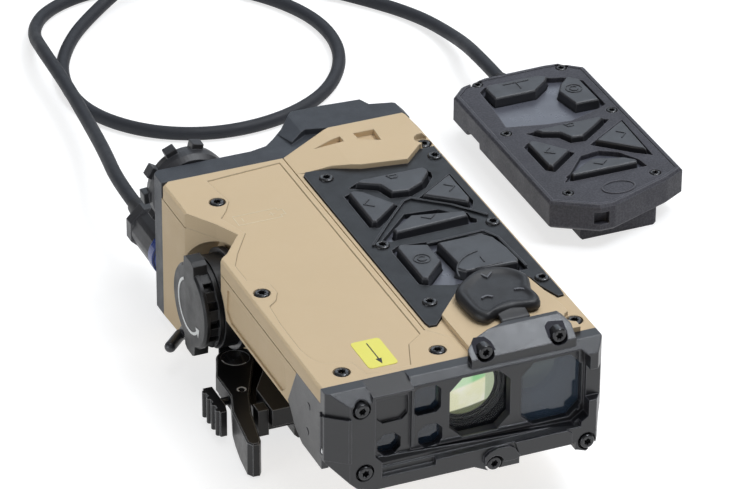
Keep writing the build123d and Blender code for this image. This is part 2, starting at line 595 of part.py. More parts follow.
def rear_cover():
    w, h, y1, y2 = body_width, body_height, left_length, right_length
    edge = [(0, y1), (seam_x, y1), (seam_x + 21.5, y2), (w, y2), (w, y2 + 6), (w - 3.5, y2 + 8.5),
            (w - 11.5, y2 + 10.5), (w - 13.3, y2 + 15), (w - 28, y2 + 16), (w - 40, y2 + 16), (w - 52, y1 + 14),
            (w - 56, y1 + 10.5), (w - 62.5, rear_left_y), (1.8, rear_left_y), (0, y1 + 7.2)]
    cover = prism_z(edge, -h, 0)
    hood = prism_z([(w - 47, y1 + 8), (w - 40, y1 + 12.5), (w - 32, y2), (w, y2), (w, y2 + 6),
                    (w - 3.5, y2 + 8.5), (w - 11.5, y2 + 10.5), (w - 13.3, y2 + 15), (w - 28, y2 + 16),
                    (w - 40, y2 + 16), (w - 49, y1 + 16)], -1, 4)
    cover += hood & prism_y([(w - 50, -1), (w - 50, 0), (w - 42, 2.4), (w - 2.4, 2.4), (w, 0), (w, -1)], y1, y2 + 20)
    foot = [(0, y1), (column_width, y1), (column_width, rear_left_y), (1.8, rear_left_y), (0, y1 + 7.2)]
    cover += prism_z(foot, column_bottom, -h + 1)
    cover -= rod_y(knob_x, knob_z, 3.0 + hinge_gap, y1 - 1, y2 + 20)
    cover -= rod_y(plug_x, plug_z, 7.0, y1 - 1, y2 + 20)
    x0, x1, z0, z1 = display
    cover -= block(x0, x1, rear_right_y - 4, rear_right_y + 1, z0, z1)
    cover -= block(x0 + 2, x1 - 2, y2 + 2, rear_right_y, z0 + 2, z1 - 2)
    cover += block(x0 + 4, x1 - 4, y2 + 2, rear_right_y - 4.3, z0 + 4, z1 - 4)
    for x, z, joint_y in rear_screw_places:
        cover -= screw_hole(x, joint_y + rear_screw_seat, z, BACK, 12, sink=12)
    return cover


def selector_knob():
    """A skirted knob with square grip tabs."""
    y0, y1, y2 = rear_left_y + 0.4, rear_left_y + 5.4, rear_left_y + 10.0
    knob = spun([(0, 0), (14.2, 0), (knob_disc, y1 - y0), (knob_disc, y2 - y0 - 0.8),
                 (knob_disc - 0.8, y2 - y0), (0, y2 - y0)], Plane(origin=(knob_x, y0, knob_z), z_dir=BACK))
    tab = Pos((9.0 + knob_radius) / 2, 0, 0) * Box(knob_radius - 9.0, 4.4, y2 - y1 + 0.4)
    for n in range(knob_tabs):
        place = Plane(origin=(knob_x, (y1 + y2) / 2 - 0.2, knob_z), x_dir=(1, 0, 0), z_dir=BACK)
        knob += place.location * Rot(0, 0, -76.7 + n * 360 / knob_tabs) * tab
    knob -= rod_y(knob_x, knob_z, 3.0, y0 - 1, y2 - 1.4)
    return knob


plug_start = rear_left_y + 2.0
plug_end = plug_start + 30.0
relief_end = plug_end + 9.0


def cable_plug():
    """A round plug with an eight-sided grip and a tapered back."""
    plug = spun([(0, 0), (plug_radius - 0.7, 0), (plug_radius, 0.7), (plug_radius, 21), (plug_radius - 0.6, 21.6),
                 (plug_radius - 0.6, 22.4), (plug_radius - 0.2, 22.8), (plug_radius - 1.4, 26), (4.4, 30), (0, 30)],
                Plane(origin=(plug_x, plug_start, plug_z), z_dir=BACK))
    grip = extrude(Plane(origin=(plug_x, plug_start - 1, plug_z), z_dir=BACK)
                   * RegularPolygon(plug_radius * 0.965, 8, major_radius=False), 40)
    plug = plug & grip
    return plug


receptacle = rod_y(plug_x, plug_z, 7.0, left_length + 1, rear_left_y) + rod_y(
    plug_x, plug_z, 7.9, rear_left_y, plug_start)
relief_radius = cable_diameter / 2 + 0.75
parts["rear_cover"] = rear_cover()
parts["display_window"] = block(display[0], display[1], rear_right_y - 4, rear_right_y - 2, display[2], display[3])
parts["selector_shaft"] = rod_y(knob_x, knob_z, 3.0, left_length - 6, rear_left_y + 8.5)
parts["selector_knob"] = selector_knob()
parts["cable_receptacle"] = receptacle
parts["cable_plug"] = cable_plug()

# ---- port cover ------------------------------------------------------------------------------
flap_edge = [(-36.6, 19.5), (-36.0, 34.5), (-31.0, 41.6), (-18.6, 43.2), (-11.4, 32.0), (-12.4, 20.0),
             (-20.0, 12.2), (-30.6, 12.2)]
flap_edge = [(body_width + x, y) for x, y in flap_edge]
flap_under = keypad_top + 1.6
flap_high = 4.0


def port_cover():
    """A rubber cover with a rounded rim, its strap ending in a round knuckle."""
    cover = prism_z(flap_edge, flap_under, flap_under + flap_high, 3.4)
    cover = fillet(cover.faces().sort_by(Axis.Z)[-1].edges(), 2.2)
    cover += block(strap_x - strap_half, strap_x + strap_half, port_hinge_y, 19, port_hinge_z - 0.9, port_hinge_z + 0.9)
    cover += rod_x(port_hinge_y, port_hinge_z, 0.9, strap_x - strap_half, strap_x + strap_half)
    plug = rod_z(port_x, port_y, port_radius - 1.0, flap_under - 1.6, flap_under + 0.2)
    return cover + plug


parts["port_cover"] = port_cover()
parts["port_anchor"] = block(strap_x - strap_half, strap_x + strap_half, -2.0, port_hinge_y - 1.15, 1.85, 3.8)
parts["service_port"] = rod_z(port_x, port_y, port_radius, -cover_depth, -0.4) - rod_z(
    port_x, port_y, 3.6, -4.2, 1)

# ---- rail mount ------------------------------------------------------------------------------
rail_half = rail_width / 2 + rail_play
top_half = rail_top / 2 + rail_play
foot_drop = 2 * rail_edge_drop
mount_front = mount_y - mount_length / 2
mount_rear = mount_y + mount_length / 2
base_top = cap_z - collar_radius - 2.5
lever_pivot = (lever_pivot_x, lever_pivot_y)
lever_head = 6.8
cam_radius = 3.6
cam_offset = lever_open_shift / sqrt(2)
ear_top = seat_z - 4.6
jaw_top = seat_z - seat_gap


def rail_profile(side):
    """Rail seat and one jaw's inner face, from the seat's middle outwards."""
    return [(rail_axis_x + side * dx, seat_z + dz) for dx, dz in
            ((top_half, 0), (rail_half, -rail_edge_drop), (top_half, -foot_drop), (top_half + 0.8, -jaw_depth))]


def mount_base():
    x_jaw = rail_axis_x + 19.8
    clear_z = seat_z + seat_gap
    section = [(rail_axis_x - 23.4, base_top), (rail_axis_x - 23.4, clear_z), (rail_axis_x - top_half, clear_z),
               (rail_axis_x - top_half, seat_z)]
    section += rail_profile(1) + [(x_jaw - 1, floor_z), (x_jaw, floor_z + 1), (x_jaw, base_top)]
    base = prism_y(section, mount_front, mount_rear)
    base -= prism_z([(0, mount_y - 14), (6.6, mount_y - 14), (17.0, lever_pivot[1] - 7), (17.0, mount_rear + 1),
                     (0, mount_rear + 1)], seat_z - 1, base_top + 1)
    base += block(13, 22, mount_rear - 8.5, mount_rear, seat_z, base_top)
    base += block(3, 13.2, mount_rear - 8.5, mount_rear, floor_z + 0.5, base_top)
    base += prism_z([(1.4, 89.5), (13.2, 89.5), (13.2, mount_rear), (3, mount_rear), (1.4, 107)],
                    floor_z + 0.5, ear_top)
    base += block(17, 46, mount_front + 2, mount_front + 23, base_top - 1, -body_height)
    base -= rod_z(*lever_pivot, 2.5, floor_z, base_top + 1)
    base -= rod_z(*lever_pivot, lever_head + 0.6, seat_z - 0.1, base_top + 1)
    for x, y in mount_screw_places:
        base -= screw_hole(x, y, seat_z + mount_screw_sink, DOWN, mount_screw_reach + 3, sink=mount_screw_sink)
    return base


def clamp_jaw():
    section = rail_profile(-1)[::-1]
    outer = [(rail_axis_x - 14.5, jaw_top), (rail_axis_x - 14.5, floor_z + 1.5), (rail_axis_x - 13, floor_z)]
    section = [(x, min(z, jaw_top)) for x, z in section]
    jaw = prism_y(outer + section, mount_front + 2, mount_rear - 9)
    jaw += block(5.2, 20, 64.5, mount_rear - 9, seat_z - 4.4, jaw_top)
    jaw += block(2.4, 6.3, 61.5, 66.5, seat_z - 4.4, lever_top)
    slot = cam_radius + 0.15
    x, y = lever_pivot
    jaw -= block(x - slot + cam_offset * 0.7071, x + slot + cam_offset * 0.7071, y - slot - cam_offset,
                 y + slot, seat_z - 9, seat_z)
    return jaw


def throw_lever():
    x, y = lever_pivot
    arm = [(1.2, 98), (-2.6, 88.9), (-2.6, 75.0), (-5.9, 64.9), (-8.3, 45.2), (-7.0, 43.0), (-4.6, 42.8),
           (-3.4, 44.6), (0, 61.4), (3.5, 72.5), (14.5, 95.5)]
    side = [(110, lever_top), (110, lever_bottom), (73, lever_bottom), (61, floor_z + 2.2),
            (55, floor_z + 0.8), (40, floor_z + 0.8), (40, lever_top)]
    lever = (prism_z(arm, floor_z, lever_top + 1) & prism_x(side, -20, 30))
    lever += rod_z(x, y, lever_head, lever_bottom, lever_top)
    lever = chamfer(lever.faces().sort_by(Axis.Z)[-1].edges(), 0.5)
    lever += rod_z(x + cam_offset * 0.7071, y - cam_offset * 0.7071, cam_radius, ear_top + 0.1, lever_bottom + 0.1)
    lever -= rod_z(x, y, 2.0 + hinge_gap, ear_top - 1, lever_top + 1)
    lever -= rod_z(x, y, 5.0 + hinge_gap, lever_top - 2.4, lever_top + 1)
    lever -= rod_x(lock_y, lock_z, 1.5 + hinge_gap, -12, 12)
    lever -= rod_z(set_screw_x, lock_y, 1.5, lever_top - 1.4, lever_top + 1)
    return lever


lock_y = 77.0
lock_z = lever_top - 3.4
set_screw_x = 2.4
lock_face = -9.2


def lock_button():
    plate = [(lock_face, 67.6), (lock_face + 2.4, 67.6), (lock_face + 3.4, 71.6), (lock_face + 3.4, 84.4),
             (lock_face, 84.4)]
    button = prism_z(plate, lever_top - 11.2, lever_top - 1.2)
    for n in range(4):
        button += rod_z(lock_face, 69.6 + n * 4.2, 1.1, lever_top - 11.2, lever_top - 1.2)
    return button + rod_x(lock_y, lock_z, 1.5, lock_face + 2.0, 3.6)


parts["mount_base"] = mount_base()
parts["clamp_jaw"] = clamp_jaw()
parts["throw_lever"] = throw_lever()
parts["lever_pivot"] = rod_z(*lever_pivot, 2.0, floor_z + 0.5, lever_top - 2.3) + rod_z(
    *lever_pivot, 5.0, lever_top - 2.35, lever_top - 0.1) + rod_z(*lever_pivot, 2.5, floor_z + 0.5, ear_top)
parts["lever_set_screw"] = rod_z(set_screw_x, lock_y, 1.5, lever_top - 1.4, lever_top - 0.1)
parts["lock_button"] = lock_button()

# ---- remote keypad ---------------------------------------------------------------------------
def on_remote(points):
    return [(remote_x + x, remote_y + y) for x, y in points]


a, b = remote_half_width, remote_half_length
remote_edge = on_remote([(-a, 44.0), (-22.4, 50.2), (-11.6, 53.4), (14, b), (20, 53.4), (a, 46.6), (a, -38.8),
                         (20, -43.4), (-6, -53.0), (-12, -53.0), (-a, -43.0)])
remote_keys = {
    "remote_power_key": on_remote([(-15.9, 42.4), (-14.0, 44.9), (7.4, 44.9), (10.6, 42.4), (8.4, 39.2),
                                   (1.6, 33.6), (-15.6, 33.4)]),
    "remote_menu_key": on_remote([(12.3, 35.2), (17.4, 40.0), (21.2, 36.2), (21.4, 18.2), (11.2, 18.2),
                                  (9.2, 30.2)]),
    "remote_zoom_key": on_remote([(-12.6, 6.2), (14.4, 6.4), (17.0, 5.2), (11.7, 0.9), (3.4, -5.2), (-1.4, -4.6),
                                  (-3.9, 0.6), (-10.0, 3.2)]),
    "remote_left_key": on_remote([(-18.6, -2.4), (-16.8, -0.8), (-14.6, -1.6), (-5.6, -12.9), (-16.8, -21.8),
                                  (-18.4, -20.4)]),
    "remote_right_key": on_remote([(22.2, 1.0), (21.4, -23.4), (17.4, -20.4), (5.8, -9.8)]),
    "remote_range_key": on_remote([(-13.4, -28.8), (-1.3, -21.4), (10.6, -25.2), (14.4, -28.8), (13.6, -31.0),
                                   (-12.9, -30.9)]),
}
remote_arch = on_remote([(-16.8, -31.8), (-2.8, -15.8), (5.0, -14.8), (11.4, -18.6), (16.2, -26.6), (17.0, -32.2)])
remote_field = on_remote([(-17.6, 43.2), (-14.6, 46.0), (8.0, 46.1), (12.4, 43.4), (16.4, 42.4), (23.0, 37.0),
                          (23.0, 16.6), (16.0, 13.4), (5.6, 10.0), (-4.0, 10.8), (-19.6, 14.6), (-18.4, 27.0)])
remote_mat_edge = on_remote([(-22.4, 44.0), (-20.4, 47.8), (10.5, 48.6), (24.9, 41.0), (24.9, -33.8),
                             (-22.4, -33.8)])
remote_screw_places = on_remote([(-16.0, 49.2), (19.5, 49.4), (-21.6, 10.2), (23.2, 11.6), (-19.0, -39.2),
                                 (17.5, -37.8)])
remote_plate_top = rim_z - 0.3
remote_plate_thick = 2.2
remote_mat_face = remote_plate_top - 2.1
remote_mat_under = remote_mat_face - 2.6
shell_under = rim_z - remote_shell_depth
foot_half = 15.6
foot_front = remote_y - 43.5
foot_wall = 3.0
foot_screw_y = foot_front + 6.0
remote_head = 2.2


def remote_shell():
    shell = slab(remote_edge, 0, shell_under, rim_z)
    shell = chamfer(shell.faces().sort_by(Axis.Z)[-1].edges(), 1.0)
    shell = chamfer(shell.faces().sort_by(Axis.Z)[0].edges(), 1.2)
    shell -= slab(remote_edge, -2.2, remote_plate_top - remote_plate_thick, rim_z + 1)
    shell -= slab(remote_mat_edge, 0.1, remote_mat_under, rim_z)
    shell -= block(remote_x - 17, remote_x + 17, remote_y - 30, remote_y + 38, shell_under + 2.2, rim_z)
    for x, y in remote_screw_places:
        shell -= bolt(x, y, rim_z, UP, screw_radius + 0.1, 3 - remote_shell_depth, 1)
        shell -= bolt(x, y, remote_plate_top, UP, remote_head + 0.8, -remote_plate_thick, 2, 16)
    pocket = [(remote_x + dx, remote_y - b + dy) for dx, dy in ((-14, -1), (-8.4, -1), (-8.4, 4.0), (-14, 4.6))]
    shell -= prism_z(pocket, rim_z - 8.0, rim_z - 3.0)
    for side in (-1, 1):
        shell -= prism_x([(remote_y + 19, shell_under - 1), (remote_y + 33.5, shell_under - 1),
                          (remote_y + 31, shell_under + 3.4), (remote_y + 19.8, shell_under + 3.4)],
                         remote_x + side * (a - 1.5) - 2, remote_x + side * (a - 1.5) + 2)
    shell -= rod_y(remote_cable[0], remote_cable[2], relief_radius, remote_cable[1] - 6, remote_y + b + 4)
    return shell


remote_cable = (remote_x - 2.0, remote_y + b + 5.0, rim_z - 5.6)


def remote_foot():
    """The remote's rail clamp, open at the back and closed at the front."""
    cx, top = remote_x, shell_under
    seat = floor_z + 6.6
    inner = [(cx + side * dx, seat + dz) for side in (-1, 1) for dx, dz in
             ((top_half, 0), (rail_half, -rail_edge_drop), (top_half + 0.4, -foot_drop), (top_half + 1, floor_z - seat))]
    left, right = inner[:4], inner[4:]
    ends = [(cx - foot_half, top), (cx - foot_half, floor_z + 1), (cx - foot_half + 1, floor_z)]
    others = [(cx + foot_half - 1, floor_z), (cx + foot_half, floor_z + 1), (cx + foot_half, top)]
    foot = prism_y(ends + left[::-1] + right + others, foot_front + foot_wall - 0.1, remote_y + 30)
    foot += prism_y(ends + others, foot_front, foot_front + foot_wall)
    foot -= bolt(cx - foot_half, foot_screw_y, foot_screw_z, (1, 0, 0), 1.5 + screw_play, -1, foot_screw_long)
    return foot


foot_screw_z = floor_z + 2.6
foot_screw_long = 3.6


def remote_clamp_screw():
    return bolt(remote_x - foot_half, foot_screw_y, foot_screw_z, (1, 0, 0), 1.5, 0.3, foot_screw_long)


parts["right_deck"] = right_deck()
parts["lower_housing"] = lower_housing()
parts["left_cover"] = left_cover()
parts["cover_screws"] = [screw(x, y, -1.0, UP, 7.8, screw_head, 1.4) for x, y in cover_left + cover_right]
parts["rear_screws"] = [screw(x, joint_y + rear_screw_seat, z, BACK, 11.5)
                        for x, z, joint_y in rear_screw_places]
parts["mount_screws"] = [screw(x, y, seat_z + mount_screw_sink, DOWN, mount_screw_reach, 2.75, 2.0)
                         for x, y in mount_screw_places] + [remote_clamp_screw()]
keypad("keypad", main_keys, keypad_edge, [key_arch, key_field], mat_edge, keypad_screw_places,
       keypad_top, keypad_thick, mat_top, -4.0, 1.9, 2.5)
keypad("remote", remote_keys, [(x, y) for x, y in remote_edge], [remote_arch, remote_field],
       remote_mat_edge, remote_screw_places, remote_plate_top, remote_plate_thick, remote_mat_face,
       remote_mat_under, 1.8, remote_head)
parts["remote_frame"] = parts["remote_frame"] & slab(remote_edge, -2.3, shell_under, rim_z)
parts["remote_shell"] = remote_shell()
parts["remote_foot"] = remote_foot()
parts["keypad_screws"] += parts.pop("remote_screws")
parts["circuit_boards"] = [circuit_board(), block(remote_x - 16.8, remote_x + 16.8, remote_y - 29.8,
                                                  remote_y + 37.8, shell_under + 2.2, shell_under + 3.8)]
relief_long = relief_end - plug_end
parts["strain_reliefs"] = [
    spun([(0, 0), (4.4, 0), (relief_radius, relief_long), (0, relief_long)],
         Plane(origin=(plug_x, plug_end, plug_z), z_dir=BACK)),
    spun([(0, -5.9), (relief_radius, -5.9), (relief_radius, -2), (cable_diameter / 2 + 0.3, 0), (0, 0)],
         Plane(origin=remote_cable, z_dir=BACK))]

# ---- cable -----------------------------------------------------------------------------------
lie = floor_z + cable_diameter / 2 + 0.1
over = lie + cable_diameter + 3.2
cable_points = [
    (plug_x, relief_end, plug_z), (plug_x, relief_end + 20, plug_z), (14.6, 246.0, -43.0), (19.8, 278.0, -48.2),
    (22.6, 310.0, over), (23.6, 341.0, over), (28.6, 369.0, lie + 1.6), (40.5, 387.0, lie),
    (62.0, 396.0, lie), (88.0, 393.5, lie), (112.0, 382.0, lie), (130.5, 361.0, lie), (140.0, 335.0, lie),
    (137.0, 307.0, lie), (121.0, 282.0, lie), (96.0, 268.0, lie), (67.0, 266.5, lie), (42.0, 279.0, lie),
    (26.5, 303.0, lie), (27.5, 334.0, lie), (41.0, 360.0, lie), (60.0, 377.5, lie + 2.2),
    (82.0, 388.5, over), (108.0, 389.0, over), (134.0, 376.0, lie + 2.0), (160.0, 352.0, lie),
    (177.5, 327.0, lie), (182.5, 299.0, lie + 2.6), (remote_cable[0], remote_cable[1] + 22, remote_cable[2]),
    remote_cable]


def cable():
    places = [Vector(*p) for p in cable_points]
    radii = []
    for before, here, after in zip(places, places[1:], places[2:]):
        turn = (here - before).get_angle(after - here)
        run = min((here - before).length, (after - here).length)
        radii.append(0.45 * run / tan(radians(turn) / 2))
    path = FilletPolyline(*places, radius=radii)
    start = Plane(origin=path @ 0, z_dir=path % 0)
    tube = sweep(start * Circle(cable_diameter / 2), path=path)
    print("cable length", round(path.length, 1), "radii", [round(r) for r in radii])
    print("cable volume over section times length",
          round(tube.volume / (path.length * pi * cable_diameter ** 2 / 4), 4))
    return tube


parts["remote_cable"] = cable()

to_rail_seat = Location((-rail_axis_x, -mount_y, -seat_z))
os.makedirs("parts", exist_ok=True)
for name, solid in parts.items():
    if isinstance(solid, list):
        solid = Compound(children=solid)
    export_step(solid.moved(to_rail_seat), f"parts/{name}.step")
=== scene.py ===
import bpy
import bmesh
import math
from mathutils import Matrix, Vector


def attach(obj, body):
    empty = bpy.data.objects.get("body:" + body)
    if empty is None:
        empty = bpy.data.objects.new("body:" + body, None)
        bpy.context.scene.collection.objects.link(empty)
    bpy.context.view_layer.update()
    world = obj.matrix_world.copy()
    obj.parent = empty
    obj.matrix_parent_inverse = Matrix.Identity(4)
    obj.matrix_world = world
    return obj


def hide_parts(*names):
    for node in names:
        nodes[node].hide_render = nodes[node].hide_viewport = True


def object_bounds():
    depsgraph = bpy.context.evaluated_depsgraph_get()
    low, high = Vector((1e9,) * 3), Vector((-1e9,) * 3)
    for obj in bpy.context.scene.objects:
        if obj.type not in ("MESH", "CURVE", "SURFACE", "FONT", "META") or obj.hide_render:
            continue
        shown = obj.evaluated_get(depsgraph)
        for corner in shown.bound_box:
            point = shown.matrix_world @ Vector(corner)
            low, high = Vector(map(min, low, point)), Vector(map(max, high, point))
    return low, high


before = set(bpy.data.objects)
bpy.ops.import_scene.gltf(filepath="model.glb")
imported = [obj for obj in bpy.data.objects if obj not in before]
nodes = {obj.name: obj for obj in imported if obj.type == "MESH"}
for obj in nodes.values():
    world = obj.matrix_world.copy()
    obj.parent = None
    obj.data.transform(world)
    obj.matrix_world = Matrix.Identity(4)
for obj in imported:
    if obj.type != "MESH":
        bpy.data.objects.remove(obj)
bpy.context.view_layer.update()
scene = bpy.context.scene
xAxis, yAxis, zAxis = Vector((1, 0, 0)), Vector((0, 1, 0)), Vector((0, 0, 1))
housing = {"width": 100.0, "length": 146.5, "corner": (30.0, 88.0, -52.0)}


# Housing millimetres (from its left side, front joint face and deck) to the frame's metres.
def row(x, y, z):
    return Vector([(value - start) / 1000 for value, start in zip((x, y, z), housing["corner"])])


view = {"azimuth": -23.32, "elevation": 31.46, "roll": 0.41,  # degrees
        "aim": (50, 70, -20), "distance": 1.632, "sensor": 36, "lens": 231.4, "shift": (-0.012807, 0.085967)}
azimuth, elevation, roll = (math.radians(view[key]) for key in ("azimuth", "elevation", "roll"))
back = Vector((math.sin(azimuth) * math.cos(elevation), -math.cos(azimuth) * math.cos(elevation),
               math.sin(elevation)))
side = (-back).cross(zAxis).normalized()
top = side.cross(-back)
sideRolled = side * math.cos(roll) + top * math.sin(roll)
topRolled = top * math.cos(roll) - side * math.sin(roll)
camData = bpy.data.cameras.new("camera")
camera = bpy.data.objects.new("camera", camData)
scene.collection.objects.link(camera)
camera.matrix_world = Matrix.Translation(row(*view["aim"]) + back * view["distance"]) @ Matrix(
    (sideRolled, topRolled, back)).transposed().to_4x4()
camData.sensor_width = view["sensor"]
camData.lens = view["lens"]
camData.shift_x, camData.shift_y = view["shift"]
camData.clip_start, camData.clip_end = 0.1, 20
scene.camera = camera
scene.view_settings.view_transform = "Standard"
scene.view_settings.look = "None"
print("camera done")


cord = {"thick": 5.3, "floor": -60.0, "gap": 0.1, "hop": 3.2}  # hop: its clearance where it crosses itself
lie = cord["floor"] + cord["thick"] / 2 + cord["gap"]
over = lie + cord["thick"] + cord["hop"]
cord["points"] = [
    (8.6, 196.5, -38), (8.6, 216.5, -38), (14.6, 246, -43), (19.8, 278, -48.2),
    (22.6, 310, over), (23.6, 341, over), (28.6, 369, lie + 1.6), (40.5, 387, lie),
    (62, 396, lie), (88, 393.5, lie), (112, 382, lie), (130.5, 361, lie), (140, 335, lie),
    (137, 307, lie), (121, 282, lie), (96, 268, lie), (67, 266.5, lie), (42, 279, lie),
    (26.5, 303, lie), (27.5, 334, lie), (41, 360, lie), (60, 377.5, lie + 2.2),
    (82, 388.5, over), (108, 389, over), (134, 376, lie + 2), (160, 352, lie),
    (177.5, 327, lie), (182.5, 299, lie + 2.6), (178, 269.7, -46.6), (178, 247.7, -46.6)]
curve = bpy.data.curves.new("cable", "CURVE")
curve.dimensions = "3D"
curve.bevel_depth = 1.0  # the radius itself is on the points
curve.bevel_resolution = 6
curve.resolution_u = 8
curve.use_fill_caps = True
spline = curve.splines.new("NURBS")
spline.points.add(len(cord["points"]) - 1)
for point, place in zip(spline.points, cord["points"]):
    point.co = (*row(*place), 1)
    point.radius = cord["thick"] / 2000
spline.order_u = 3
spline.use_endpoint_u = True
cable = bpy.data.objects.new("cable", curve)
scene.collection.objects.link(cable)
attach(cable, "unit")
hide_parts("remote_cable")
print("cable done")


def newMaterial(name):
    mat = bpy.data.materials.new(name)
    mat.use_nodes = True
    tree = mat.node_tree
    tree.nodes.clear()
    out = tree.nodes.new("ShaderNodeOutputMaterial")
    shader = tree.nodes.new("ShaderNodeBsdfPrincipled")
    tree.links.new(shader.outputs[0], out.inputs[0])
    return mat, tree, shader


def noise(tree, scale, detail=3.0, roughness=0.5):
    coord = tree.nodes.new("ShaderNodeTexCoord")
    tex = tree.nodes.new("ShaderNodeTexNoise")
    tex.inputs["Scale"].default_value = scale
    tex.inputs["Detail"].default_value = detail
    tex.inputs["Roughness"].default_value = roughness
    tree.links.new(coord.outputs["Object"], tex.inputs["Vector"])
    return tex.outputs["Fac"]


def ramp(tree, source, low, high, lowValue=0.0, highValue=1.0):
    node = tree.nodes.new("ShaderNodeMapRange")
    node.inputs["From Min"].default_value = low
    node.inputs["From Max"].default_value = high
    node.inputs["To Min"].default_value = lowValue
    node.inputs["To Max"].default_value = highValue
    tree.links.new(source, node.inputs["Value"])
    return node.outputs[0]


def mixColor(tree, factor, a, b):
    node = tree.nodes.new("ShaderNodeMix")
    node.data_type = "RGBA"
    tree.links.new(factor, node.inputs[0])
    for key, value in ((6, a), (7, b)):  # the two colour sockets
        if hasattr(value, "is_output"):
            tree.links.new(value, node.inputs[key])
        else:
            node.inputs[key].default_value = (*value, 1)
    return node.outputs[2]


# Shared by every surface. Noises are (scale, detail, roughness); the pairs are a ramp's start and end.
texture = {"edgeSamples": 4, "wearHighlightFrom": 0.995, "wearHighlightTo": 0.86, "cloud": (22, 4, 0.6), "spread": (0.3, 0.7),
           "fine": (2, 0.6), "speckle": (0.42, 0.62), "bumpDepth": 0.0001, "streak": (160, 5, 0.65)}


# Coated or moulded surface: rounded edges, paler as wear and painted highlight; fine grain, faint blotches.
def surface(name, color, rough=0.45, roughSpread=0.08, specular=0.5, metallic=0.0, coat=0.0,
            edge=0.0004, wearHighlightColor=None, wearHighlightAmount=0.35, grain=0.15, grainScale=5200, blotch=0.06,
            speckle=0.0):
    mat, tree, shader = newMaterial(name)
    wearHighlightColor = wearHighlightColor or [min(1, c * 1.5 + 0.02) for c in color]
    bevel = tree.nodes.new("ShaderNodeBevel")
    bevel.samples = texture["edgeSamples"]
    bevel.inputs["Radius"].default_value = edge
    geometry = tree.nodes.new("ShaderNodeNewGeometry")
    dot = tree.nodes.new("ShaderNodeVectorMath")
    dot.operation = "DOT_PRODUCT"
    tree.links.new(bevel.outputs[0], dot.inputs[0])
    tree.links.new(geometry.outputs["Normal"], dot.inputs[1])
    # Pale band on rounded edges: partly wear, partly a painted highlight.
    wearHighlight = ramp(tree, dot.outputs["Value"], texture["wearHighlightFrom"], texture["wearHighlightTo"], 0.0, wearHighlightAmount)
    shade = ramp(tree, noise(tree, *texture["cloud"]), *texture["spread"])
    base = mixColor(tree, shade, [c * (1 - blotch) for c in color], [min(1, c * (1 + blotch)) for c in color])
    fine = noise(tree, grainScale, *texture["fine"])
    if speckle:
        base = mixColor(tree, ramp(tree, fine, *texture["speckle"], 0.0, speckle), base, wearHighlightColor)
    tree.links.new(mixColor(tree, wearHighlight, base, wearHighlightColor), shader.inputs["Base Color"])
    bump = tree.nodes.new("ShaderNodeBump")
    bump.inputs["Strength"].default_value = grain
    bump.inputs["Distance"].default_value = texture["bumpDepth"]
    tree.links.new(fine, bump.inputs["Height"])
    tree.links.new(bevel.outputs[0], bump.inputs["Normal"])
    tree.links.new(bump.outputs[0], shader.inputs["Normal"])
    streaks = ramp(tree, noise(tree, *texture["streak"]), *texture["spread"], rough - roughSpread,
                   rough + roughSpread)
    tree.links.new(streaks, shader.inputs["Roughness"])
    shader.inputs["Metallic"].default_value = metallic
    shader.inputs["Coat Weight"].default_value = coat
    shader.inputs["Specular IOR Level"].default_value = specular
    return mat


pane = {"cloud": (60, 2, 0.5), "smear": (240, 4, 0.6), "rough": (0.04, 0.09), "shade": 0.9, "bend": 1.5,
        "coat": 0.6}


# Window glass with a faint smear; alpha says how much of the dark behind it is hidden.
def glass(name, tint, alpha):
    mat, tree, shader = newMaterial(name)
    shade = ramp(tree, noise(tree, *pane["cloud"]), *texture["spread"])
    base = mixColor(tree, shade, [c * pane["shade"] for c in tint], tint)
    tree.links.new(base, shader.inputs["Base Color"])
    smear = ramp(tree, noise(tree, *pane["smear"]), *texture["spread"], *pane["rough"])
    tree.links.new(smear, shader.inputs["Roughness"])
    shader.inputs["Alpha"].default_value = alpha
    shader.inputs["IOR"].default_value = pane["bend"]
    shader.inputs["Coat Weight"].default_value = pane["coat"]
    return mat


# The edges of the bands of the painted reflection are metres in the frame: a slope with x, then where the
# band starts and ends.
lensReflection = {"pale": ((0.90, 0.90, 0.62), (0.97, 0.97, 0.80)),
            "leaf": ((0.34, 0.72, 0.34), (0.62, 0.84, 0.55)), "end": (0.50, 0.58, 0.40),
            "rim": (0.16, 0.18, 0.10), "swirl": (130, 2, 0.5), "mottle": (0.4, 0.6),
            "leafSlope": -0.2, "leafEdge": (0.0298, 0.0308), "endEdge": (0.0331, 0.0335),
            "rimSlope": -0.14, "rimEdge": (0.0224, 0.0229), "rough": 0.08, "reflectionGlow": 0.9}


# Lens with a glowing painted reflection: pale, with a green upper edge, a greyer right end and an olive rim
# below.
def paintedReflectionLens(name):
    mat, tree, shader = newMaterial(name)
    coord = tree.nodes.new("ShaderNodeTexCoord")
    parts = tree.nodes.new("ShaderNodeSeparateXYZ")
    tree.links.new(coord.outputs["Object"], parts.inputs[0])

    def slanted(slope):  # height along a line that rises or falls with x
        node = tree.nodes.new("ShaderNodeMath")
        node.operation = "MULTIPLY_ADD"
        tree.links.new(parts.outputs["X"], node.inputs[0])
        node.inputs[1].default_value = slope
        tree.links.new(parts.outputs["Z"], node.inputs[2])
        return node.outputs[0]

    soft = ramp(tree, noise(tree, *lensReflection["swirl"]), *lensReflection["mottle"])
    pale = mixColor(tree, soft, *lensReflection["pale"])
    leaf = mixColor(tree, soft, *lensReflection["leaf"])
    upper = ramp(tree, slanted(lensReflection["leafSlope"]), *lensReflection["leafEdge"])
    right = ramp(tree, parts.outputs["X"], *lensReflection["endEdge"])
    inside = ramp(tree, slanted(lensReflection["rimSlope"]), *lensReflection["rimEdge"])
    tint = mixColor(tree, right, mixColor(tree, upper, pale, leaf), lensReflection["end"])
    final = mixColor(tree, inside, lensReflection["rim"], tint)
    tree.links.new(final, shader.inputs["Base Color"])
    # The painted reflection is also the glow, though the lens is no lamp.
    tree.links.new(final, shader.inputs["Emission Color"])
    shader.inputs["Emission Strength"].default_value = lensReflection["reflectionGlow"]
    shader.inputs["Roughness"].default_value = lensReflection["rough"]
    return mat
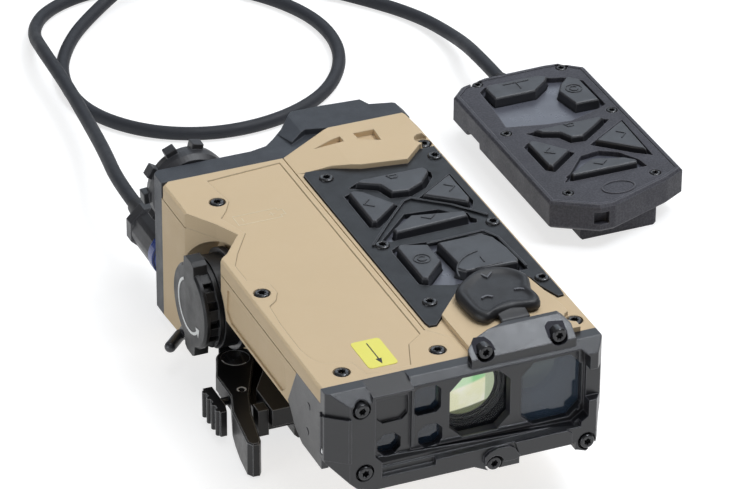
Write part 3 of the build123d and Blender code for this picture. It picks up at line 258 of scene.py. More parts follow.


# The pale edge colours are painted highlights on rounded edges, partly wear.
surfaces = {
    "tanPaint": dict(color=(0.62, 0.475, 0.300), rough=0.62, edge=0.0005, wearHighlightColor=(0.74, 0.64, 0.46),
                     wearHighlightAmount=0.5, grain=0.18, blotch=0.02, specular=0.25),
    "tanShade": dict(color=(0.36, 0.27, 0.165), rough=0.6, edge=0.0001, wearHighlightAmount=0.0, grain=0.05,
                     specular=0.25),
    "tanLine": dict(color=(0.72, 0.62, 0.44), rough=0.6, edge=0.0001, wearHighlightAmount=0.0, grain=0.05,
                    specular=0.25),
    "bezelBlack": dict(color=(0.007, 0.007, 0.009), rough=0.33, edge=0.0006, wearHighlightColor=(0.17, 0.17, 0.19),
                       wearHighlightAmount=0.6, grain=0.2, blotch=0.1, specular=0.66, roughSpread=0.04),
    "rearBlack": dict(color=(0.026, 0.030, 0.038), rough=0.50, edge=0.0006, wearHighlightColor=(0.12, 0.125, 0.14),
                      wearHighlightAmount=0.5, grain=0.4, blotch=0.12),
    "capBlack": dict(color=(0.008, 0.008, 0.009), rough=0.42, edge=0.0005, wearHighlightColor=(0.12, 0.12, 0.125),
                     wearHighlightAmount=0.6, grain=0.2, specular=0.35),
    "keypadFrame": dict(color=(0.009, 0.010, 0.012), rough=0.38, edge=0.0005, wearHighlightColor=(0.26, 0.26, 0.28),
                        wearHighlightAmount=0.6, grain=0.3, grainScale=3800, specular=0.36),
    "keyRubber": dict(color=(0.022, 0.023, 0.027), rough=0.36, edge=0.0007, wearHighlightColor=(0.15, 0.15, 0.165),
                      wearHighlightAmount=0.6, grain=0.12, specular=0.7),
    "coverRubber": dict(color=(0.010, 0.010, 0.012), rough=0.45, edge=0.0004, wearHighlightColor=(0.07, 0.07, 0.075),
                        wearHighlightAmount=0.4, grain=0.25, specular=0.5),
    # A paler copy of the cover's rubber: painted highlight on its ridges.
    "ridgeHighlightRubber": dict(color=(0.09, 0.09, 0.10), rough=0.35, edge=0.0003, wearHighlightColor=(0.30, 0.30, 0.32),
                        wearHighlightAmount=0.7, grain=0.1),
    # The mat's colour is lifted and blued as a painted sheen.
    "matRubberSheen": dict(color=(0.088, 0.092, 0.115), rough=0.32, edge=0.0004, wearHighlightAmount=0.3, grain=0.2,
                      specular=0.9),
    "remotePlastic": dict(color=(0.036, 0.035, 0.045), rough=0.55, edge=0.0008, wearHighlightColor=(0.20, 0.20, 0.22),
                          wearHighlightAmount=0.6, grain=1.0, grainScale=1300, blotch=0.25, specular=0.4,
                          speckle=0.16),
    "screwSteel": dict(color=(0.020, 0.020, 0.022), rough=0.22, edge=0.0002, wearHighlightColor=(0.16, 0.16, 0.17),
                       wearHighlightAmount=0.6, grain=0.06, metallic=0.3, coat=0.3),
    "pivotSteel": dict(color=(0.10, 0.10, 0.105), rough=0.2, edge=0.0001, grain=0.05, metallic=0.8),
    # Steel painted near white as a painted glint, on the clip and the glint marks.
    "glintSteel": dict(color=(0.80, 0.80, 0.80), rough=0.3, edge=0.0001, grain=0.05, metallic=0.2),
    "anodisedBlack": dict(color=(0.008, 0.008, 0.009), rough=0.36, edge=0.0005, wearHighlightColor=(0.50, 0.50, 0.51),
                          wearHighlightAmount=0.8, grain=0.10, specular=0.4),
    "bareAluminium": dict(color=(0.62, 0.63, 0.64), rough=0.32, edge=0.0003, metallic=1.0, grain=0.1),
    "boardGreen": dict(color=(0.012, 0.09, 0.045), rough=0.35, edge=0.0002, grain=0.1),
    "cellWrap": dict(color=(0.03, 0.12, 0.26), rough=0.25, edge=0.0003, grain=0.05),
    "springSteel": dict(color=(0.55, 0.55, 0.52), rough=0.3, edge=0.0003, metallic=1.0, grain=0.05),
    "cableJacket": dict(color=(0.030, 0.032, 0.038), rough=0.58, edge=0.0002, wearHighlightAmount=0.0, grain=0.10,
                        grainScale=2600, blotch=0.12, specular=0.3),
    "receptacleBlue": dict(color=(0.006, 0.030, 0.20), rough=0.3, edge=0.0003, grain=0.05, coat=0.3),
    "plugBlack": dict(color=(0.024, 0.024, 0.027), rough=0.42, edge=0.0005, wearHighlightColor=(0.09, 0.09, 0.10),
                      wearHighlightAmount=0.5, grain=0.2),
    "reliefRubber": dict(color=(0.014, 0.014, 0.016), rough=0.5, edge=0.0003, grain=0.1),
    # Matte black of the liner and baffle, also the plates of painted shade.
    "baffleAndShadeBlack": dict(color=(0.020, 0.019, 0.028), rough=0.5, edge=0.0002, wearHighlightAmount=0.0, grain=0.05,
                        specular=0.15),
    "whitePrint": dict(color=(0.80, 0.80, 0.78), rough=0.5, edge=0.0001, wearHighlightAmount=0.0, grain=0.05),
    "labelYellow": dict(color=(0.80, 0.74, 0.12), rough=0.35, edge=0.0001, wearHighlightAmount=0.0, grain=0.04,
                        blotch=0.03),
    "labelInk": dict(color=(0.012, 0.012, 0.012), rough=0.4, edge=0.0001, wearHighlightAmount=0.0, grain=0.04)}
glasses = {"windowClear": dict(tint=(0.03, 0.035, 0.045), alpha=0.16),
           "windowBlue": dict(tint=(0.042, 0.070, 0.112), alpha=0.80),
           "windowDark": dict(tint=(0.018, 0.034, 0.062), alpha=0.85),
           "displayGlass": dict(tint=(0.012, 0.014, 0.016), alpha=0.97)}
mats = {name: surface(name, **values) for name, values in surfaces.items()}
mats.update({name: glass(name, **values) for name, values in glasses.items()})
mats["lensPaintedReflection"] = paintedReflectionLens("lensPaintedReflection")

dressed = {
    "tanPaint": "lower_housing left_cover right_deck",
    "bezelBlack": "front_bezel",
    "rearBlack": "rear_cover",
    "capBlack": "battery_cap battery_tube",
    "keypadFrame": "keypad_frame",
    "matRubberSheen": "keypad_mat remote_mat",
    "keyRubber": "zoom_key left_key right_key range_key menu_key power_key remote_zoom_key remote_left_key"
                 " remote_right_key remote_range_key remote_menu_key remote_power_key cap_tether cap_oring",
    "coverRubber": "port_cover port_anchor",
    "remotePlastic": "remote_shell remote_frame remote_foot",
    "screwSteel": "bezel_screws cover_screws rear_screws keypad_screws mount_screws lever_pivot"
                  " lever_set_screw selector_shaft service_port",
    "anodisedBlack": "mount_base clamp_jaw throw_lever lock_button optic_barrels",
    "bareAluminium": "pointer_lasers sensor_module optical_bench",
    "boardGreen": "circuit_boards",
    "cellWrap": "battery_cell",
    "springSteel": "battery_spring",
    "plugBlack": "cable_plug selector_knob",
    "reliefRubber": "strain_reliefs",
    "receptacleBlue": "cable_receptacle",
    "windowClear": "camera_window",
    "windowBlue": "receiver_window",
    "windowDark": "small_windows",
    "displayGlass": "display_window",
    "lensPaintedReflection": "objective_lenses"}
for name, parts in dressed.items():
    for part in parts.split():
        nodes[part].data.materials.clear()
        nodes[part].data.materials.append(mats[name])
cable.data.materials.append(mats["cableJacket"])
print("materials done")


def finish(name, bm, body, mat, smooth=False):
    bmesh.ops.recalc_face_normals(bm, faces=bm.faces)
    mesh = bpy.data.meshes.new(name)
    bm.to_mesh(mesh)
    bm.free()
    if smooth:
        mesh.shade_smooth()
    obj = bpy.data.objects.new(name, mesh)
    scene.collection.objects.link(obj)
    mesh.materials.append(mats[mat])
    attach(obj, body)
    return obj


# A line of edges through points, back to its start when it's closed.
def addLine(bm, points, closed=True):
    verts = [bm.verts.new(p) for p in points]
    return verts, [bm.edges.new(pair) for pair in zip(verts, verts[1:] + verts[:1] if closed else verts[1:])]


# Faces pulled along one or more steps into a closed solid.
def pull(bm, faces, *steps):
    for k, step in enumerate(steps):
        geom = faces + list({e for f in faces for e in f.edges})
        grown = bmesh.ops.extrude_face_region(bm, geom=geom, use_keep_orig=k == 0)["geom"]
        bmesh.ops.translate(bm, verts=[g for g in grown if isinstance(g, bmesh.types.BMVert)], vec=step)
        faces = [g for g in grown if isinstance(g, bmesh.types.BMFace)]


# Neighbouring closed loops of edges joined into one skin, capped at both ends.
def loft(bm, loops):
    for a, b in zip(loops, loops[1:]):
        bmesh.ops.bridge_loops(bm, edges=a + b)
    for end in (loops[0], loops[-1]):
        bmesh.ops.edgeloop_fill(bm, edges=end)


# A flat shape on a plane, in millimetres; sunk is how far it starts under the plane.
def addPlate(bm, points, origin, u, v, thick, sunk=0.05):
    up = u.cross(v) / 1000
    verts, edges = addLine(bm, [origin + (u * x + v * y) / 1000 - up * sunk for x, y in points])
    pull(bm, [bm.faces.new(verts)], up * (thick + sunk))


# A thin ridge along a line of points on a plane, mitred at its corners.
def addStroke(bm, points, origin, u, v, width, thick, closed=False, sunk=0.05):
    points = [Vector(p) for p in points]
    if (points[0] - points[-1]).length < 1e-6:
        points, closed = points[:-1], True
    up, count, left, right = u.cross(v) / 1000, len(points), [], []
    for k, p in enumerate(points):
        after = points[(k + 1) % count] if closed or k < count - 1 else p * 2 - points[k - 1]
        before = points[k - 1] if closed or k else p * 2 - after
        a, b = (p - before).normalized(), (after - p).normalized()
        across = Vector((-a.y - b.y, a.x + b.x)).normalized()
        across *= width / 2 / max(0.5, across.dot(Vector((-a.y, a.x))))
        left.append(p + across)
        right.append(p - across)
    edges = []
    for line in (left, right):
        edges += addLine(bm, [origin + (u * p.x + v * p.y) / 1000 - up * sunk for p in line], closed)[1]
    pull(bm, bmesh.ops.bridge_loops(bm, edges=edges)["faces"], up * (thick + sunk))


# A turned shape round an axis along y: the profile is (radius, distance behind the joint face).
def addTurned(bm, x, z, profile, steps=64, turn=0.0):
    spoke = Matrix.Rotation(turn, 3, "Y") @ xAxis
    points = [row(x, y, z) + spoke * (radius / 1000) for radius, y in profile]
    verts, edges = addLine(bm, points, closed=False)
    bmesh.ops.spin(bm, geom=verts + edges, cent=row(x, 0, z), axis=yAxis, dvec=(0, 0, 0),
                   angle=2 * math.pi, steps=steps, use_merge=True)
    bmesh.ops.remove_doubles(bm, verts=bm.verts, dist=1e-7)


def arc(cx, cy, r, start, end, count=20):
    angles = [math.radians(start + (end - start) * k / count) for k in range(count + 1)]
    return [(cx + r * math.cos(a), cy + r * math.sin(a)) for a in angles]


# Outline of a flat band that follows an arc.
def arcBand(cx, cy, r, start, end, width, count=30):
    return arc(cx, cy, r + width / 2, start, end, count) + arc(cx, cy, r - width / 2, start, end, count)[::-1]


remoteMiddle = (180.0, 188.7)


def onRemote(points):
    return [(remoteMiddle[0] + x, remoteMiddle[1] + y) for x, y in points]


wide, long = housing["width"], housing["length"]
screw = {"sides": 48, "lobes": 6, "lobe": 0.52, "waist": 0.40, "mouth": 0.60, "depth": 1.5, "dish": 0.12,
         "foot": -0.3, "turn": 0.4}


# A screw head with a six-lobed recess, in millimetres; curve is the size of its rounded edge.
def addScrew(bm, at, normal, head, high, curve, turn):
    old = set(bm.verts)
    profile = [(head * screw["mouth"], high), (head - curve, high)]
    profile += [(head - curve * (1 - math.sin(a)), high - curve * (1 - math.cos(a)))
                for a in (0.4, 0.8, 1.2, math.pi / 2)]
    profile.append((head, screw["foot"]))
    verts, edges = addLine(bm, [Vector((r, 0, z)) / 1000 for r, z in profile], closed=False)
    bmesh.ops.spin(bm, geom=verts + edges, cent=(0, 0, 0), axis=zAxis, dvec=(0, 0, 0),
                   angle=2 * math.pi, steps=screw["sides"], use_merge=True)
    lobe, waist = head * screw["lobe"] / 1000, head * screw["waist"] / 1000
    mouth = Matrix.Translation((0, 0, (high - screw["dish"]) / 1000))
    circle = bmesh.ops.create_circle(bm, cap_ends=False, radius=lobe, segments=screw["sides"],
                                     matrix=mouth)["verts"]
    for v in circle:
        swing = math.cos(screw["lobes"] * (math.atan2(v.co.y, v.co.x) + turn))
        v.co.xy = v.co.xy.normalized() * ((lobe + waist) / 2 + (lobe - waist) / 2 * swing)
    recess = list({e for v in circle for e in v.link_edges})
    rims = [e for e in bm.edges if len(e.link_faces) == 1]
    bmesh.ops.bridge_loops(bm, edges=recess + [e for e in rims if e.verts[0].co.z > 0])
    bmesh.ops.edgeloop_fill(bm, edges=[e for e in rims if e.verts[0].co.z < 0])
    grown = bmesh.ops.extrude_edge_only(bm, edges=recess)["geom"]
    bmesh.ops.translate(bm, verts=[g for g in grown if isinstance(g, bmesh.types.BMVert)],
                        vec=(0, 0, (screw["dish"] - screw["depth"]) / 1000))
    bmesh.ops.edgeloop_fill(bm, edges=[g for g in grown if isinstance(g, bmesh.types.BMEdge)
                                       and len(g.link_faces) == 1])
    normal = Vector(normal)
    stand = Matrix.Translation(at) @ Matrix((xAxis, normal.cross(xAxis), normal)).transposed().to_4x4()
    bmesh.ops.transform(bm, matrix=stand, verts=[v for v in bm.verts if v not in old])


# Each group: the way the heads face, their radius, height and edge curve, and their places.
screwSets = {
    "bezelScrews": ("bezel_screws", [((0, -1, 0), 2.6, 3.2, 0.6, [
        (11.0, -6.6, -6.0), (12.3, -6.6, -30.8), (wide - 42.8, -2.4, 3.4), (wide - 15.9, -2.4, 3.6),
        (wide - 6.3, -6.6, -38.3), (wide - 40.8, -6.6, -38.4)])]),
    "coverScrews": ("cover_screws", [((0, 0, 1), 2.75, 1.4, 1.0, [
        (13.3, long - 20, -1), (4.8, 63.5, -1), (10.4, 6.8, -1), (45.3, 7.4, -1), (wide - 4.6, 7, -1),
        (wide - 3.2, long - 9.5, -1)])]),
    "keypadScrews": ("keypad_screws", [
        ((0, 0, 1), 2.7, 2.0, 0.9, [(wide - dx, long - dy, -0.5) for dy in (20.4, 70.7, 111.4)
                                    for dx in (45.4, 3.6)]),
        ((0, 0, 1), 2.2, 1.5, 0.9, [(x, y, -42.5) for x, y in onRemote(
            [(-16.0, 49.2), (19.5, 49.4), (-21.6, 10.2), (23.2, 11.6), (-19.0, -39.2), (17.5, -37.8)])])]),
    "rearScrews": ("rear_screws", [((0, 1, 0), 2.75, 1.6, 1.0, [
        (wide - 5.2, 162, -9.5), (wide - 5.4, 162, -37.3), (30, 151.5, -37.5), (4.6, 151.5, -49.9),
        (19, 151.5, -49.9)])])}
for name, (node, groups) in screwSets.items():
    bm = bmesh.new()
    for normal, head, high, curve, places in groups:
        for k, at in enumerate(places):
            addScrew(bm, row(*at), normal, head, high, curve, screw["turn"] * k)
    heads = finish(name, bm, "unit", "screwSteel")
    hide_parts(node)
print("screws done")

# Blank yellow label with its arrow.
label = {"left": 19.8, "right": 30.4, "front": 5.3, "rear": 22.5, "corner": 1.4, "z": -0.3, "thick": 0.16,
         "arrow": [(25.3, 20.4), (24.9, 20.4), (24.9, 10.2), (24.0, 10.2), (25.1, 6.8), (26.2, 10.2),
                   (25.3, 10.2)], "ink": 0.05}
corner = label["corner"]
points = []
for cx, cy, start in ((label["right"] - corner, label["rear"] - corner, 0),
                      (label["left"] + corner, label["rear"] - corner, 90),
                      (label["left"] + corner, label["front"] + corner, 180),
                      (label["right"] - corner, label["front"] + corner, 270)):
    points += arc(cx, cy, corner, start, start + 90, 5)
bm = bmesh.new()
addPlate(bm, points, row(0, 0, label["z"]), xAxis, yAxis, label["thick"])
finish("plainLabel", bm, "unit", "labelYellow")
bm = bmesh.new()
addPlate(bm, label["arrow"], row(0, 0, label["z"] + label["thick"]), xAxis, yAxis, label["ink"])
finish("labelArrow", bm, "unit", "labelInk")

# Raised ribs on the keypad frame, round the range key and behind the mat.
ribs = {"z": 0.7, "width": 0.9, "lines": [
    (0.7, [(51.4, 76.5), (62.9, 89.6), (73.0, 100.4), (76.2, 101.4), (78.9, 99.1), (87.4, 92.0),
           (96.6, 80.5)]),
    (0.6, [(69.0, 70.6), (90.6, 71.4), (93.6, 65.4), (94.6, 44.2)])]}
bm = bmesh.new()
for high, line in ribs["lines"]:
    addStroke(bm, line, row(0, 0, ribs["z"]), xAxis, yAxis, ribs["width"], high)
finish("frameRibs", bm, "unit", "keypadFrame")

# Raised signs on the keys. The remote's are given from the middle of the remote.
keySigns = {"width": 0.42, "high": 0.24, "unitTop": 2.6, "remoteTop": -39.5}
unitSigns = {
    "zoomMark": ("zoom_key", [[(73.6, 116.4), (77.4, 116.4), (76.6, 114.4), (74.4, 114.4), (73.6, 116.4)]]),
    "leftMark": ("left_key", [[(61.4, 103.8), (58.4, 101.2), (61.4, 98.6)]]),
    "rightMark": ("right_key", [[(89.8, 103.4), (92.8, 100.8), (89.8, 98.2)]]),
    "rangeMark": ("range_key", [[(73.4, 85.6), (76.0, 83.4), (78.6, 85.6)]]),
    "menuMark": ("menu_key", [arc(62.4, 59.6, 2.9, 0, 360, 32), arc(62.4, 59.6, 1.5, 30, 330)]),
    "powerMark": ("power_key", [[(76.8, 46.8), (86.8, 46.8)], [(81.4, 53.2), (81.4, 49.6)],
                                arc(84.0, 42.6, 14.6, 176, 98, 18)])}
remoteSigns = {
    "remotePowerMark": ("remote_power_key", [[(-8.4, 42.4), (2.4, 42.4)], [(-3.0, 42.2), (-3.0, 37.4)]]),
    "remoteMenuMark": ("remote_menu_key", [arc(15.6, 29.6, 3.1, 0, 360, 32), arc(15.6, 29.6, 1.6, 30, 330)]),
    "remoteZoomMark": ("remote_zoom_key", [[(0.2, 5.2), (4.0, 5.2), (3.2, 3.4), (1.0, 3.4), (0.2, 5.2)]]),
    "remoteLeftMark": ("remote_left_key", [[(-12.2, -8.6), (-15.4, -11.2), (-12.2, -13.6)]]),
    "remoteRightMark": ("remote_right_key", [[(16.0, -6.8), (18.8, -9.4), (16.0, -12.0)]]),
    "remoteRangeMark": ("remote_range_key", [[(-2.0, -25.4), (0.6, -27.6), (3.2, -25.4)]])}


def addSign(name, body, lines, level):
    bm = bmesh.new()
    for line in lines:
        addStroke(bm, line, row(0, 0, level), xAxis, yAxis, keySigns["width"], keySigns["high"])
    finish(name, bm, body, "keyRubber")


for name, (body, lines) in unitSigns.items():
    addSign(name, body, lines, keySigns["unitTop"])
for name, (body, lines) in remoteSigns.items():
    addSign(name, body, [onRemote(line) for line in lines], keySigns["remoteTop"])

# Battery sign on the left cover, above the compartment.
battery = {"z": -0.3, "width": 0.28, "high": 0.06, "lines": [
    [(14.6, 108.9), (30.9, 108.9), (30.9, 110.4), (32.7, 110.4), (32.7, 113.7), (30.9, 113.7), (30.9, 115.2),
     (14.6, 115.2), (14.6, 108.9)],
    [(26.9, 112), (29.3, 112)], [(28.1, 110.8), (28.1, 113.2)], [(17.2, 110.8), (17.2, 113.2)]]}
bm = bmesh.new()
for line in battery["lines"]:
    addStroke(bm, line, row(0, 0, battery["z"]), xAxis, yAxis, battery["width"], battery["high"])
finish("batterySign", bm, "unit", "tanLine")

# Shade line at the foot of the step round the left cover's field, which ends short of the covers' seam.
seam = wide - 53.5
field = {"z": -0.305, "width": 0.55, "high": 0.03, "outline": [
    (3.1, 25.2), (3.1, 42.3), (4.0, 54.6), (7.4, 57.4), (9.8, 62), (9.6, 68), (6.6, 71.8), (3.1, 73.0),
    (3.1, 84), (6.8, 91.1), (14.4, 102.9), (10.4, 115.5), (14.0, 119.9), (17.2, 125.5), (16.2, 132.9),
    (15.4, 141.7), (seam - 2.4, 144.1), (seam - 2.4, 19), (38, 14.4), (33.4, 2.2), (17.6, 2.2),
    (16.0, 11.2), (6.4, 14.4), (4.2, 18.8)]}
bm = bmesh.new()
addStroke(bm, field["outline"], row(0, 0, field["z"]), xAxis, yAxis, field["width"], field["high"],
          closed=True)
finish("fieldShade", bm, "unit", "tanShade")

# Turning arrow on the battery cap's face, laid out as (-y, z) since the face looks to the left.
turnArrow = {"face": -6.05, "middle": (-105.0, -26.0), "radius": 9.9, "from": 118, "to": 318, "width": 1.1,
             "tip": 3.2, "barb": 2.0, "line": 0.06, "point": 0.05}
bm = bmesh.new()
sweep = (*turnArrow["middle"], turnArrow["radius"], turnArrow["from"], turnArrow["to"])
face = row(turnArrow["face"], 0, 0)
addPlate(bm, arcBand(*sweep, turnArrow["width"]), face, -yAxis, zAxis, turnArrow["line"])
path = [Vector(p) for p in arc(*sweep, 36)]
end, ahead = path[-1], (path[-1] - path[-3]).normalized()
across = Vector((-ahead.y, ahead.x)) * turnArrow["barb"]
addPlate(bm, [end + across, end + ahead * turnArrow["tip"], end - across], face, -yAxis, zAxis,
         turnArrow["point"])
finish("capArrow", bm, "battery_cap", "whitePrint")

# Bare oval on the remote's frame, in the place of a badge.
oval = {"middle": (0.2, -42.4), "radii": (6.4, 4.3), "z": -41.3, "width": 0.7, "high": 0.28, "sides": 48}
angles = [2 * math.pi * k / oval["sides"] for k in range(oval["sides"])]
points = onRemote([(oval["middle"][0] + oval["radii"][0] * math.cos(a),
                    oval["middle"][1] + oval["radii"][1] * math.sin(a)) for a in angles])
bm = bmesh.new()
addStroke(bm, points, row(0, 0, oval["z"]), xAxis, yAxis, oval["width"], oval["high"], closed=True)
finish("remoteOval", bm, "unit", "remotePlastic")

# Turned rings on the lever's pivot head, a painted glint on its rim, and the clip round the set screw painted
# pale.
pivot = {"middle": (7.9, 97.0), "z": -46.1, "rings": (1.2, 2.0, 2.8, 3.6, 4.4), "ringWidth": 0.22,
         "ringHigh": 0.07, "glint": (4.85, 175, 300, 0.35), "glintHigh": 0.12,
         "clip": (2.4, 77.0, 1.45, -60, 210, 0.5), "clipHigh": 0.14}
headTop = row(0, 0, pivot["z"])
bm = bmesh.new()
for r in pivot["rings"]:
    addStroke(bm, arc(*pivot["middle"], r, 0, 360, 40), headTop, xAxis, yAxis, pivot["ringWidth"],
              pivot["ringHigh"])
finish("pivotRings", bm, "unit", "pivotSteel")
# A pale arc on the head's rim: a painted glint.
bm = bmesh.new()
addPlate(bm, arcBand(*pivot["middle"], *pivot["glint"]), headTop, xAxis, yAxis, pivot["glintHigh"])
finish("pivotPaintedGlint", bm, "unit", "glintSteel")
# Clip round the set screw, painted pale as its highlight.
bm = bmesh.new()
addPlate(bm, arcBand(*pivot["clip"]), headTop, xAxis, yAxis, pivot["clipHigh"])
finish("screwClip", bm, "throw_lever", "glintSteel")
print("signs and marks done")

# Rubber port cover: a soft crowned flap with a rounded rim, and the strap that it bends on. The rim is
# (distance in from the outline, height); the strap's section is (y, height).
portCover = {
    "outline": [(62.3, 31.5), (61.6, 24.5), (62.5, 15.8), (65.6, 12.2), (69.8, 13.9), (76.2, 15.0),
                (84.6, 13.9), (87.4, 17.4), (87.4, 24.0), (89.5, 32.4), (84.5, 39.6), (75.4, 41.5),
                (67.3, 37.2)],
    "middle": (75.6, 27.0), "smoothing": 6,
    "rim": [(4.0, 2.5), (0.6, 2.4), (0.1, 2.9), (0.0, 3.9), (0.3, 4.9), (1.0, 5.8), (1.9, 6.15), (2.8, 5.95),
            (3.8, 5.4), (4.8, 5.15), (7.5, 5.2)],
    "strap": [(17.5, 4.9), (15.8, 4.8), (14.4, 4.3), (12.9, 3.8), (11.6, 3.7), (10.8, 3.4), (10.5, 2.8),
              (10.6, 2.2), (12.0, 2.3), (14.0, 2.6), (17.5, 2.8)],
    "strapFrom": 70.4, "strapWidth": 10.2, "strapEdge": 0.3,
    "ridgeZ": 5.1, "ridgeHigh": 0.6, "ridges": [(70.4, 22.2, 2.2, 25, 140), (81.8, 21.4, 3.4, 5, 100)],
    "ridgeWidth": 0.7, "tick": [(74.7, 38.2), (76.0, 35.6), (78.7, 38.0)], "tickWidth": 0.6}


# A closed smooth line through points.
def smoothLoop(points, steps):
    loop = []
    for k in range(len(points)):
        a, b, c, d = (Vector(points[(k + n) % len(points)]) for n in (-1, 0, 1, 2))
        for t in [n / steps for n in range(steps)]:
            loop.append(b + (c - a) * (t / 2) + (a * 2 - b * 5 + c * 4 - d) * (t * t / 2)
                        + (b * 3 - a - c * 3 + d) * (t ** 3 / 2))
    return loop


middle = Vector(portCover["middle"])
loop = smoothLoop(portCover["outline"], portCover["smoothing"])
bm = bmesh.new()
loft(bm, [addLine(bm, [row(*(p + (middle - p).normalized() * inset), z) for p in loop])[1]
          for inset, z in portCover["rim"]])
edge = xAxis * (portCover["strapEdge"] / 1000)
half = xAxis * (portCover["strapWidth"] / 2000) - edge
verts, edges = addLine(bm, [row(portCover["strapFrom"], y, z) for y, z in portCover["strap"]])
pull(bm, [bm.faces.new(verts)], edge, half, half, edge)
cover = finish("portCover", bm, "port_cover", "coverRubber", smooth=True)
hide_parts("port_cover")
# Ridges and tick in a paler rubber that paints their highlight.
ridgeFoot = row(0, 0, portCover["ridgeZ"])
bm = bmesh.new()
for ridge in portCover["ridges"]:
    band = arcBand(*ridge, portCover["ridgeWidth"], 14)
    addPlate(bm, band, ridgeFoot, xAxis, yAxis, portCover["ridgeHigh"])
addStroke(bm, portCover["tick"], ridgeFoot, xAxis, yAxis, portCover["tickWidth"], portCover["ridgeHigh"])
finish("portRidges", bm, "port_cover", "ridgeHighlightRubber")
print("port cover done")

# Camera objective seen through its window: front element with a glowing painted reflection, seat, bright
# ring, liner and baffle.
lens = {"x": 56.1, "z": -17.6, "front": 7.4, "radius": 10.8, "bulge": 1.2,
        "steps": (0, 2, 4, 6, 8, 9.6, 10.8),
        "seat": [[(10.7, 9.2), (10.8, 8.4), (11.4, 8.4), (11.6, 9.2)],
                 [(11.9, 9.2), (11.9, 7.8), (12.5, 7.4), (12.9, 7.4), (12.9, 8.0), (13.6, 8.0), (13.8, 7.6),
                  (14.4, 7.6), (14.6, 9.2)]],
        "ring": [(12.45, 7.36), (12.6, 7.3), (12.8, 7.36)],
        "opening": [(49.25, -28.15), (62.35, -28.15), (66.85, -23.65), (66.85, -9.75), (62.35, -5.25),
                    (49.25, -5.25), (44.75, -9.75), (44.75, -23.65)], "openingY": (-4.2, -1.2),
        "baffle": [(45, -37), (72.5, -37), (72.5, -9), (45, -9)], "baffleY": 9.2, "baffleThick": 0.2}
bm = bmesh.new()
addTurned(bm, lens["x"], lens["z"], [(r, lens["front"] + lens["bulge"] * (r / lens["radius"]) ** 2)
                                     for r in lens["steps"]])
finish("lensFront", bm, "unit", "lensPaintedReflection", smooth=True)
bm = bmesh.new()
for profile in lens["seat"]:
    addTurned(bm, lens["x"], lens["z"], profile)
finish("lensSeat", bm, "unit", "anodisedBlack")
bm = bmesh.new()
addTurned(bm, lens["x"], lens["z"], lens["ring"])
finish("lensRing", bm, "unit", "pivotSteel")
bm = bmesh.new()
linerFrom, linerTo = lens["openingY"]
verts, edges = addLine(bm, [row(x, linerFrom, z) for x, z in lens["opening"]])
grown = bmesh.ops.extrude_edge_only(bm, edges=edges)["geom"]
bmesh.ops.translate(bm, verts=[g for g in grown if isinstance(g, bmesh.types.BMVert)],
                    vec=(0, (linerTo - linerFrom) / 1000, 0))
finish("openingLiner", bm, "unit", "baffleAndShadeBlack")
bm = bmesh.new()
addPlate(bm, lens["baffle"], row(0, lens["baffleY"], 0), xAxis, zAxis, lens["baffleThick"])
finish("lensBaffle", bm, "unit", "baffleAndShadeBlack")
print("camera lens done")

# Left end of the bezel: two small bosses, the raised corner block, a slot drawn as a plate of painted shade
# with a round bar in it, and a pale block as a painted glint.
# The blocks are (plan, from height, to height).
bezelEnd = {
    "bosses": [(10.4, -13.0), (11.7, -23.6)], "bossRadius": 1.4, "bossHigh": 0.15,
    "blocks": [([(-0.7, -3.4), (-0.7, -4.5), (6.0, -9.9), (7.2, -9.9), (7.2, -8.8), (0.2, -3.4)],
                -25.4, -8.4),
               ([(-0.5, -0.2), (-0.5, -0.9), (0.2, -0.9), (0.2, -0.2)], -25.6, -8.8),
               ([(-0.5, -0.9), (-0.5, -3.6), (0.2, -3.6), (0.2, -0.9)], -25.6, -24.2),
               (arc(-0.35, -2.1, 0.8, 0, 337.5, 15), -21.6, -9.2)],
    "slot": [(0.9, -24.4), (3.6, -24.4), (3.6, -8.8), (0.9, -8.8)], "slotThick": 0.04,
    "pinGlint": ([(-0.5, -1.8), (-0.5, -3.0), (0.1, -3.0), (0.1, -1.8)], -23.8, -22.2)}
sidePlane = (row(0, 0, 0), -yAxis, zAxis)
bm = bmesh.new()
for y, z in bezelEnd["bosses"]:
    addPlate(bm, [(-py, pz) for py, pz in arc(y, z, bezelEnd["bossRadius"], 0, 342, 19)], *sidePlane,
             bezelEnd["bossHigh"])
for plan, low, high in bezelEnd["blocks"]:
    addPlate(bm, plan, row(0, 0, low), xAxis, yAxis, high - low, sunk=0)
finish("bezelCorner", bm, "unit", "bezelBlack")
# The slot is a thin dark plate on the side: painted shade of a recess.
bm = bmesh.new()
addPlate(bm, bezelEnd["slot"], *sidePlane, bezelEnd["slotThick"])
finish("bezelSlotShade", bm, "unit", "baffleAndShadeBlack")
# A small pale steel block in the slot: a painted glint of metal.
bm = bmesh.new()
plan, low, high = bezelEnd["pinGlint"]
addPlate(bm, plan, row(0, 0, low), xAxis, yAxis, high - low, sunk=0)
finish("slotPin", bm, "unit", "glintSteel")
print("bezel end done")

